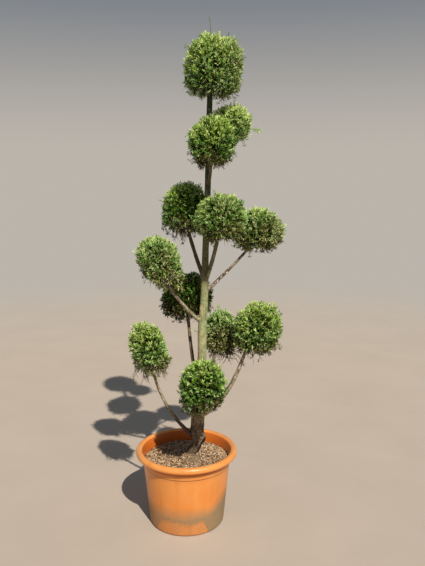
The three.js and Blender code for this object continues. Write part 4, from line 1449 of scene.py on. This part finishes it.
# Each of the first three ages runs from dark to pale: the darker go where shade is painted, the paler where
# light is painted, and the palest also stands for a painted sheen on the waxy leaves.
YOUNG_TINTS = ["#2b4a04", "#5c8815", "#98b944", "#d0e18a"]
DEEP_TINTS = ["#1f3a04", "#487118", "#7ca54a", "#b8d288"]
OLIVE_TINTS = ["#2d3606", "#5d681f", "#959b52", "#c6cb94"]
BROWN_TINTS = ["#5a4a24", "#927a44"]
YOUNG_ABOVE = 0.7
OLIVE_BELOW = 0.22
FLUSH_SHARPNESS = 5
PATCH_SIZE = 42  # patches of younger and older growth
PATCH_SEED = 500
# How much each of these makes a spray younger (the flush, older), paler, or dead. Paler is painted light
# on the top and at a tuft's tip and painted shade deeper in, with chance by tuft and by spray.
YOUTH = {"top": 0.3, "flush": 0.35, "patch": 0.25, "tuft": 0.12, "luck": 0.12}
LIGHT = {"level": 1.4, "top": 0.65, "tip": 1.25, "tuft": 0.55, "luck": 0.7}
DEAD = {"least": 0.012, "below": 0.08, "flush": 0.13}


def spray_template():
    """A flat fan one unit long on +Y: a middle branchlet with short side ones, each a folded blade."""
    blades = [(np.zeros(2), 0, 1)]
    for i in range(BRANCHLETS):
        side = 1 if i % 2 else -1
        angle = side * math.radians(BRANCHLET_ANGLE)
        root = np.array([0, FIRST_BRANCHLET + BRANCHLET_STEP * i])
        length = np.interp(i, (0, BRANCHLETS - 1), BRANCHLET_LENGTHS)
        blades.append((root, angle, length))
    points = []
    faces = []
    for root, angle, length in blades:
        along = np.array([math.sin(angle), math.cos(angle)])
        across = np.array([along[1], -along[0]])
        middle = root + 0.5 * length * along
        first = len(points)
        points.append((*root, 0))
        points.append((*(middle + 0.5 * BLADE_WIDTH * across), -BLADE_FOLD))
        points.append((*(root + length * along), 0))
        points.append((*(middle - 0.5 * BLADE_WIDTH * across), -BLADE_FOLD))
        faces.append((first, first + 1, first + 2))
        faces.append((first, first + 2, first + 3))
    return np.array(points), np.array(faces)


SPRAY_POINTS, SPRAY_FACES = spray_template()


def lay_sprays(starts, ways, faces_to, lengths, droops):
    """One copy of the fan at each start, along its way, with its flat side turned and its tip drooping."""
    across = unit(np.cross(ways, faces_to))
    normal = np.cross(across, ways)
    x, y, z = SPRAY_POINTS.T[:, None, :] * lengths[None, :, None]
    sag = -droops[:, None] * SPRAY_POINTS[:, 1] ** 2 * lengths[:, None]
    points = starts[:, None] + x[..., None] * across[:, None] + y[..., None] * ways[:, None]
    points = points + (z + sag)[..., None] * normal[:, None]
    faces = SPRAY_FACES + len(SPRAY_POINTS) * np.arange(len(starts))[:, None, None]
    return points.reshape(-1, 3), faces.reshape(-1, 3)


def sprays_on(random, tufts):
    """The sprays along each tuft's twig and at its end: their starts, ways, faces, lengths and droops."""
    count = len(tufts["start"])
    reference = any_directions(random, count)
    side = unit(np.cross(tufts["way"], reference))
    over = np.cross(tufts["way"], side)
    made = []
    for i in range(SPRAYS_IN_TUFT):
        last = i == SPRAYS_IN_TUFT - 1
        up = i / (SPRAYS_IN_TUFT - 2)
        share = LAST_SPRAY_AT if last else np.interp(up, (0, 1), SPRAYS_ALONG)
        stands_off = LAST_SPRAY_ANGLE if last else np.interp(up, (0, 1), SPRAY_ANGLES)
        angle = np.radians(random.normal(stands_off, SPRAY_ANGLE_LUCK, count))
        roll = math.pi * i + np.radians(random.normal(0, SPRAY_ROLL_LUCK, count))
        outward = side * np.cos(roll)[:, None] + over * np.sin(roll)[:, None]
        ways = unit(tufts["way"] * np.cos(angle)[:, None] + outward * np.sin(angle)[:, None])
        room = tufts["length"] * (1 - share)
        longest = SPRAY_PAST_TUFT[0] * room + SPRAY_PAST_TUFT[1]
        lengths = np.minimum(SPRAY_LENGTH * random.uniform(*SPRAY_LENGTHS, count), longest)
        starts = tufts["start"] + tufts["way"] * (share * tufts["length"])[:, None]
        faces_to = unit(over + SPRAY_TILT * random.normal(size=(count, 3)))
        made.append((starts, ways, faces_to, lengths, random.uniform(*SPRAY_DROOPS, count)))
    return [np.concatenate(parts) for parts in zip(*made)]


def deal_tints(cloud, random, starts):
    """The shade of each spray: by its place on the ball, by its tuft and by chance. Its paleness holds
    painted light on the tops, tips and sunny side, and painted shade deep in the tufts.
    """
    at = np.tile(cloud["tufts"]["at"], (SPRAYS_IN_TUFT, 1))
    right, _, up = at.T
    tuft_luck = np.tile(random.normal(size=len(cloud["tufts"]["at"])), SPRAYS_IN_TUFT)
    patches = noise(starts / PATCH_SIZE, PATCH_SEED + cloud["number"])
    flush = np.exp(FLUSH_SHARPNESS * (at @ heading(*cloud["flush"]) - 1))
    youth = cloud["fresh"] + YOUTH["top"] * up + YOUTH["top"] * up * np.abs(up) - YOUTH["flush"] * flush
    youth += YOUTH["patch"] * patches + YOUTH["tuft"] * tuft_luck
    youth += YOUTH["luck"] * random.normal(size=len(starts))
    family = np.where(youth > YOUNG_ABOVE, 0, np.where(youth > OLIVE_BELOW, 1, 2))
    along_tuft = np.repeat(np.linspace(-1, 1, SPRAYS_IN_TUFT), len(cloud["tufts"]["at"]))
    # Painted light and shade: paler on the ball's top, at the tufts' tips, on paler balls and on a sunny
    # right side, darker deep in the tufts and on darker balls.
    light = LIGHT["level"] + cloud["light"] + LIGHT["top"] * up
    light += LIGHT["tip"] * along_tuft + LIGHT["tuft"] * tuft_luck
    light += cloud.get("sunny", 0) * right + LIGHT["luck"] * random.normal(size=len(starts))
    shade = np.clip(np.round(light), 0, len(YOUNG_TINTS) - 1).astype(int)
    tints = family * len(YOUNG_TINTS) + shade
    dead_share = DEAD["least"] + DEAD["below"] * np.clip(-up, 0, 1) ** 2 + DEAD["flush"] * flush
    brown = random.random(len(starts)) < dead_share
    first_brown = len(YOUNG_TINTS) + len(DEEP_TINTS) + len(OLIVE_TINTS)
    brown_tints = first_brown + random.integers(len(BROWN_TINTS), size=len(starts))
    return np.where(brown, brown_tints, tints)


def leaf_material(name, colour):
    """Waxy scale leaves: one plain colour with a soft satin shine."""
    made, _, surface = new_material(name, roughness=0.45, shine=0.4)
    surface.inputs["Base Color"].default_value = linear(colour)
    return made


leaves = []
ages = {"young": YOUNG_TINTS, "grown": DEEP_TINTS, "old": OLIVE_TINTS, "dead": BROWN_TINTS}
for age, shades in ages.items():
    for i, shade in enumerate(shades):
        leaves.append(leaf_material(age + " cypress scale leaves " + str(i + 1), shade))
for cloud in POMPONS:
    random = np.random.default_rng(SPRAY_SEED + cloud["number"])
    placed = sprays_on(random, cloud["tufts"])
    tints = np.repeat(deal_tints(cloud, random, placed[0]), len(SPRAY_FACES))
    points, faces = lay_sprays(*placed)
    sprays = make_piece("sprays_" + cloud["name"], points, faces, leaves, smooth=False, tints=tints)
    belongs(sprays, "foliage", "pompon_" + cloud["name"])

# Stray growth
# A few soft shoots have grown out since the last clipping, with small sprays on them. Bare twigs hang singly
# and in tangles under some balls, and a sprig has come from the trunk's bark.

STRAY_SHOOTS = [  # the pompon it grows on, where its tip is, how many sprays it has and their length
    ("top", (104, 40, 2173), 13, 11),
    ("top", (186, 34, 2113), 9, 16),
    ("top", (257, 36, 2016), 9, 18),
    ("top", (3, 30, 2060), 8, 17),
    ("high_back_right", (320, 100, 1727), 18, 18),
    ("high_back_right", (285, 98, 1790), 9, 18),
    ("high_back_right", (212, 103, 1851), 8, 16),
    ("high_front", (12, -90, 1700), 8, 16),
    ("up_right", (419, 78, 1330), 9, 17),
    ("up_front", (124, -80, 1482), 9, 17),
    ("up_back_left", (-112, 112, 1432), 9, 17),
    ("low_right", (417, 0, 902), 9, 17),
    ("low_left", (-240, -12, 846), 9, 16),
    ("low_back_right", (176, 140, 940), 9, 17),
]
STRAY_RADIUS = (1.3, 0.45)
BARE_STRAYS = [  # root and tip
    ((286, 0, 772), (294, 2, 716)),
    ((178, 150, 728), (196, 146, 694)),
    ((-128, -8, 686), (-112, -12, 646)),
]
TANGLES = [  # their root, the lowest and highest of the places of their tips, and how many twigs
    ((-186, -8, 712), (-240, -40, 636), (-150, 30, 680), 11),
    ((190, 150, 742), (140, 120, 668), (285, 180, 728), 18),
    ((-20, 118, 1302), (-62, 90, 1243), (14, 150, 1290), 12),
]
TANGLE_FAN = 0.3  # how far apart the twigs leave their root, as a share of how far apart they end
TANGLE_STEPS = 6
TANGLE_BEND = 0.16
TANGLE_SIDE_BEND = 0.2
TRUNK_SPRIG = ((56, 24, 862), (23, 16, 879))
SPRIG_SPRAYS = 9
SPRIG_SPRAY_LENGTH = 10
SHOOT_ROOT = 0.6  # of the way from its pompon's centre to its tip
SHOOT_SPRAYS_FROM = 0.35  # of its length
SHOOT_SPRAYS_OUT = 0.75
SHOOT_SPRAY_STRAYS = 0.2
SHOOT_SPRAY_TILT = 0.5
SHOOT_SPRAY_LENGTHS = (0.8, 1.2)
SHOOT_THINS = (1.15, 0.4)  # its sprays' length at its root, and how much less at its tip
SHOOT_DROOPS = (-0.1, 0.1)
SHOOT_TINTS = [1, 2, 3, 6]  # the paler young shades and a pale grown one
SHOOT_SEED = 77


def along_shoots(random, starts, ends, counts, sizes):
    """Sprays that stand to both sides along shoots, with one at each tip."""
    made = []
    for start, end, count, length in zip(starts, ends, counts, sizes):
        way = unit((end - start)[None])
        side = unit(np.cross(way, any_directions(random, 1)))
        shares = np.linspace(SHOOT_SPRAYS_FROM, 1, count)
        signs = np.where(np.arange(count) % 2, 1.0, -1.0) * (shares < 1)
        outward = SHOOT_SPRAYS_OUT * signs[:, None] * side
        ways = unit(way + outward + SHOOT_SPRAY_STRAYS * random.normal(size=(count, 3)))
        faces_to = unit(np.cross(way, side) + SHOOT_SPRAY_TILT * random.normal(size=(count, 3)))
        lengths = length * random.uniform(*SHOOT_SPRAY_LENGTHS, count)
        lengths *= SHOOT_THINS[0] - SHOOT_THINS[1] * shares
        points = start + shares[:, None] * (end - start) - ways * np.where(shares == 1, lengths, 0)[:, None]
        made.append((points, ways, faces_to, lengths, random.uniform(*SHOOT_DROOPS, count)))
    return [np.concatenate(parts) for parts in zip(*made)]


def stray_growth():
    """The wood and the sprays of all the stray shoots."""
    random = np.random.default_rng(SHOOT_SEED)
    by_name = {cloud["name"]: cloud for cloud in POMPONS}
    ends = np.array([tip for _, tip, _, _ in STRAY_SHOOTS], float)
    centres = np.array([by_name[name]["centre"] for name, _, _, _ in STRAY_SHOOTS])
    starts = centres + SHOOT_ROOT * (ends - centres)
    starts = np.vstack([starts, TRUNK_SPRIG[0]])
    ends = np.vstack([ends, TRUNK_SPRIG[1]])
    counts = [count for _, _, count, _ in STRAY_SHOOTS] + [SPRIG_SPRAYS]
    sizes = [size for _, _, _, size in STRAY_SHOOTS] + [SPRIG_SPRAY_LENGTH]
    bare_starts, bare_ends = np.array(BARE_STRAYS, float).transpose(1, 0, 2)
    shoots = swept(*bent(random, starts, ends, STRAY_RADIUS, steps=2, bend=0), TWIG_SIDES)
    for root, low, high, count in TANGLES:
        tips = random.uniform(low, high, (count, 3))
        bare_starts = np.vstack([bare_starts, root + TANGLE_FAN * (tips - np.mean(tips, axis=0))])
        bare_ends = np.vstack([bare_ends, tips])
    bare_paths, bare_radii = bent(random, bare_starts, bare_ends, STRAY_RADIUS, TANGLE_STEPS, TANGLE_BEND)
    bare = [swept(bare_paths, bare_radii, TWIG_SIDES)]
    for roots, _, tips in side_twigs(random, bare_paths[len(BARE_STRAYS):]):
        forks = bent(random, roots, tips, SIDE_TWIG_RADIUS, SIDE_TWIG_STEPS, TANGLE_SIDE_BEND)
        bare.append(swept(*forks, TWIG_SIDES))
    wood = make_piece("stray_twigs", *joined([shoots, *bare]), [twig_material])
    placed = along_shoots(random, starts, ends, counts, sizes)
    tints = np.repeat(random.choice(SHOOT_TINTS, len(placed[0])), len(SPRAY_FACES))
    points, faces = lay_sprays(*placed)
    sprays = make_piece("stray_sprays", points, faces, leaves, smooth=False, tints=tints)
    return wood, sprays


stray_wood, stray_sprays = stray_growth()
belongs(stray_wood, "bark")
belongs(stray_sprays, "foliage")

# Floor and light
# A pale concrete floor fades into the surroundings. A soft sun stands high in front and a little to the
# right, as in the photograph, and a pale sky fills the shade.

FLOOR_SIZE = 9
FLOOR_FADES = (2.6, 7)  # metres from the pot
CONCRETE = "#c3b4a5"
CONCRETE_STAIN = "#b4a698"
STAINS = 2.2  # to a metre
SUN_FROM = (0.25, -0.65, 0.72)
SUN_STRENGTH = 4.2
SUN_SIZE = 0.8  # degrees
SUN_COLOUR = (1, 0.95, 0.86)
HORIZON = (0.5, 0.46, 0.41)
ZENITH = (0.15, 0.18, 0.22)


def concrete_floor():
    """Brushed concrete, matt, with a faint cloudy stain. It turns clear far from the pot."""
    made, tree, surface = new_material("brushed concrete, matt", roughness=0.95, shine=0.15)
    place = add(tree, "TexCoord", {}, "Object")
    stains = add(tree, "TexNoise", {"Vector": place, "Scale": STAINS, "Detail": 6, "Roughness": 0.6})
    base = add(tree, "MixRGB", {"Fac": stains, "Color1": linear(CONCRETE_STAIN), "Color2": linear(CONCRETE)})
    tree.links.new(base, surface.inputs["Base Color"])
    radius = add(tree, "VectorMath", {0: place}, "Value", operation="LENGTH")
    clear = add(
        tree,
        "MapRange",
        {"Value": radius, "From Min": FLOOR_FADES[0], "From Max": FLOOR_FADES[1], "To Min": 1, "To Max": 0},
        interpolation_type="SMOOTHSTEP",
    )
    tree.links.new(clear, surface.inputs["Alpha"])
    return made


floor_mesh = bpy.data.meshes.new("floor")
corners = [(x * FLOOR_SIZE, y * FLOOR_SIZE, 0) for x, y in ((-1, -1), (1, -1), (1, 1), (-1, 1))]
floor_mesh.from_pydata(corners, [], [(0, 1, 2, 3)])
floor_mesh.materials.append(concrete_floor())
floor = bpy.data.objects.new("floor", floor_mesh)
bpy.context.scene.collection.objects.link(floor)

sunlight = bpy.data.lights.new("sun", "SUN")
sunlight.energy = SUN_STRENGTH
sunlight.angle = math.radians(SUN_SIZE)
sunlight.color = SUN_COLOUR
sun = bpy.data.objects.new("sun", sunlight)
sun.rotation_mode = "QUATERNION"
sun.rotation_quaternion = Vector(SUN_FROM).to_track_quat("Z", "Y")
bpy.context.scene.collection.objects.link(sun)

world = bpy.data.worlds.new("sky")
world.use_nodes = True
sky_tree = world.node_tree
ray = add(sky_tree, "TexCoord", {}, "Generated")
climb = add(sky_tree, "SeparateXYZ", {"Vector": ray}, "Z")
upward = add(
    sky_tree, "MapRange", {"Value": climb, "From Min": 0, "From Max": 0.32}, interpolation_type="SMOOTHSTEP"
)
sky = add(sky_tree, "MixRGB", {"Fac": upward, "Color1": (*HORIZON, 1), "Color2": (*ZENITH, 1)})
sky_tree.links.new(sky, sky_tree.nodes["Background"].inputs["Color"])
bpy.context.scene.world = world
bpy.context.scene.view_settings.view_transform = "Standard"
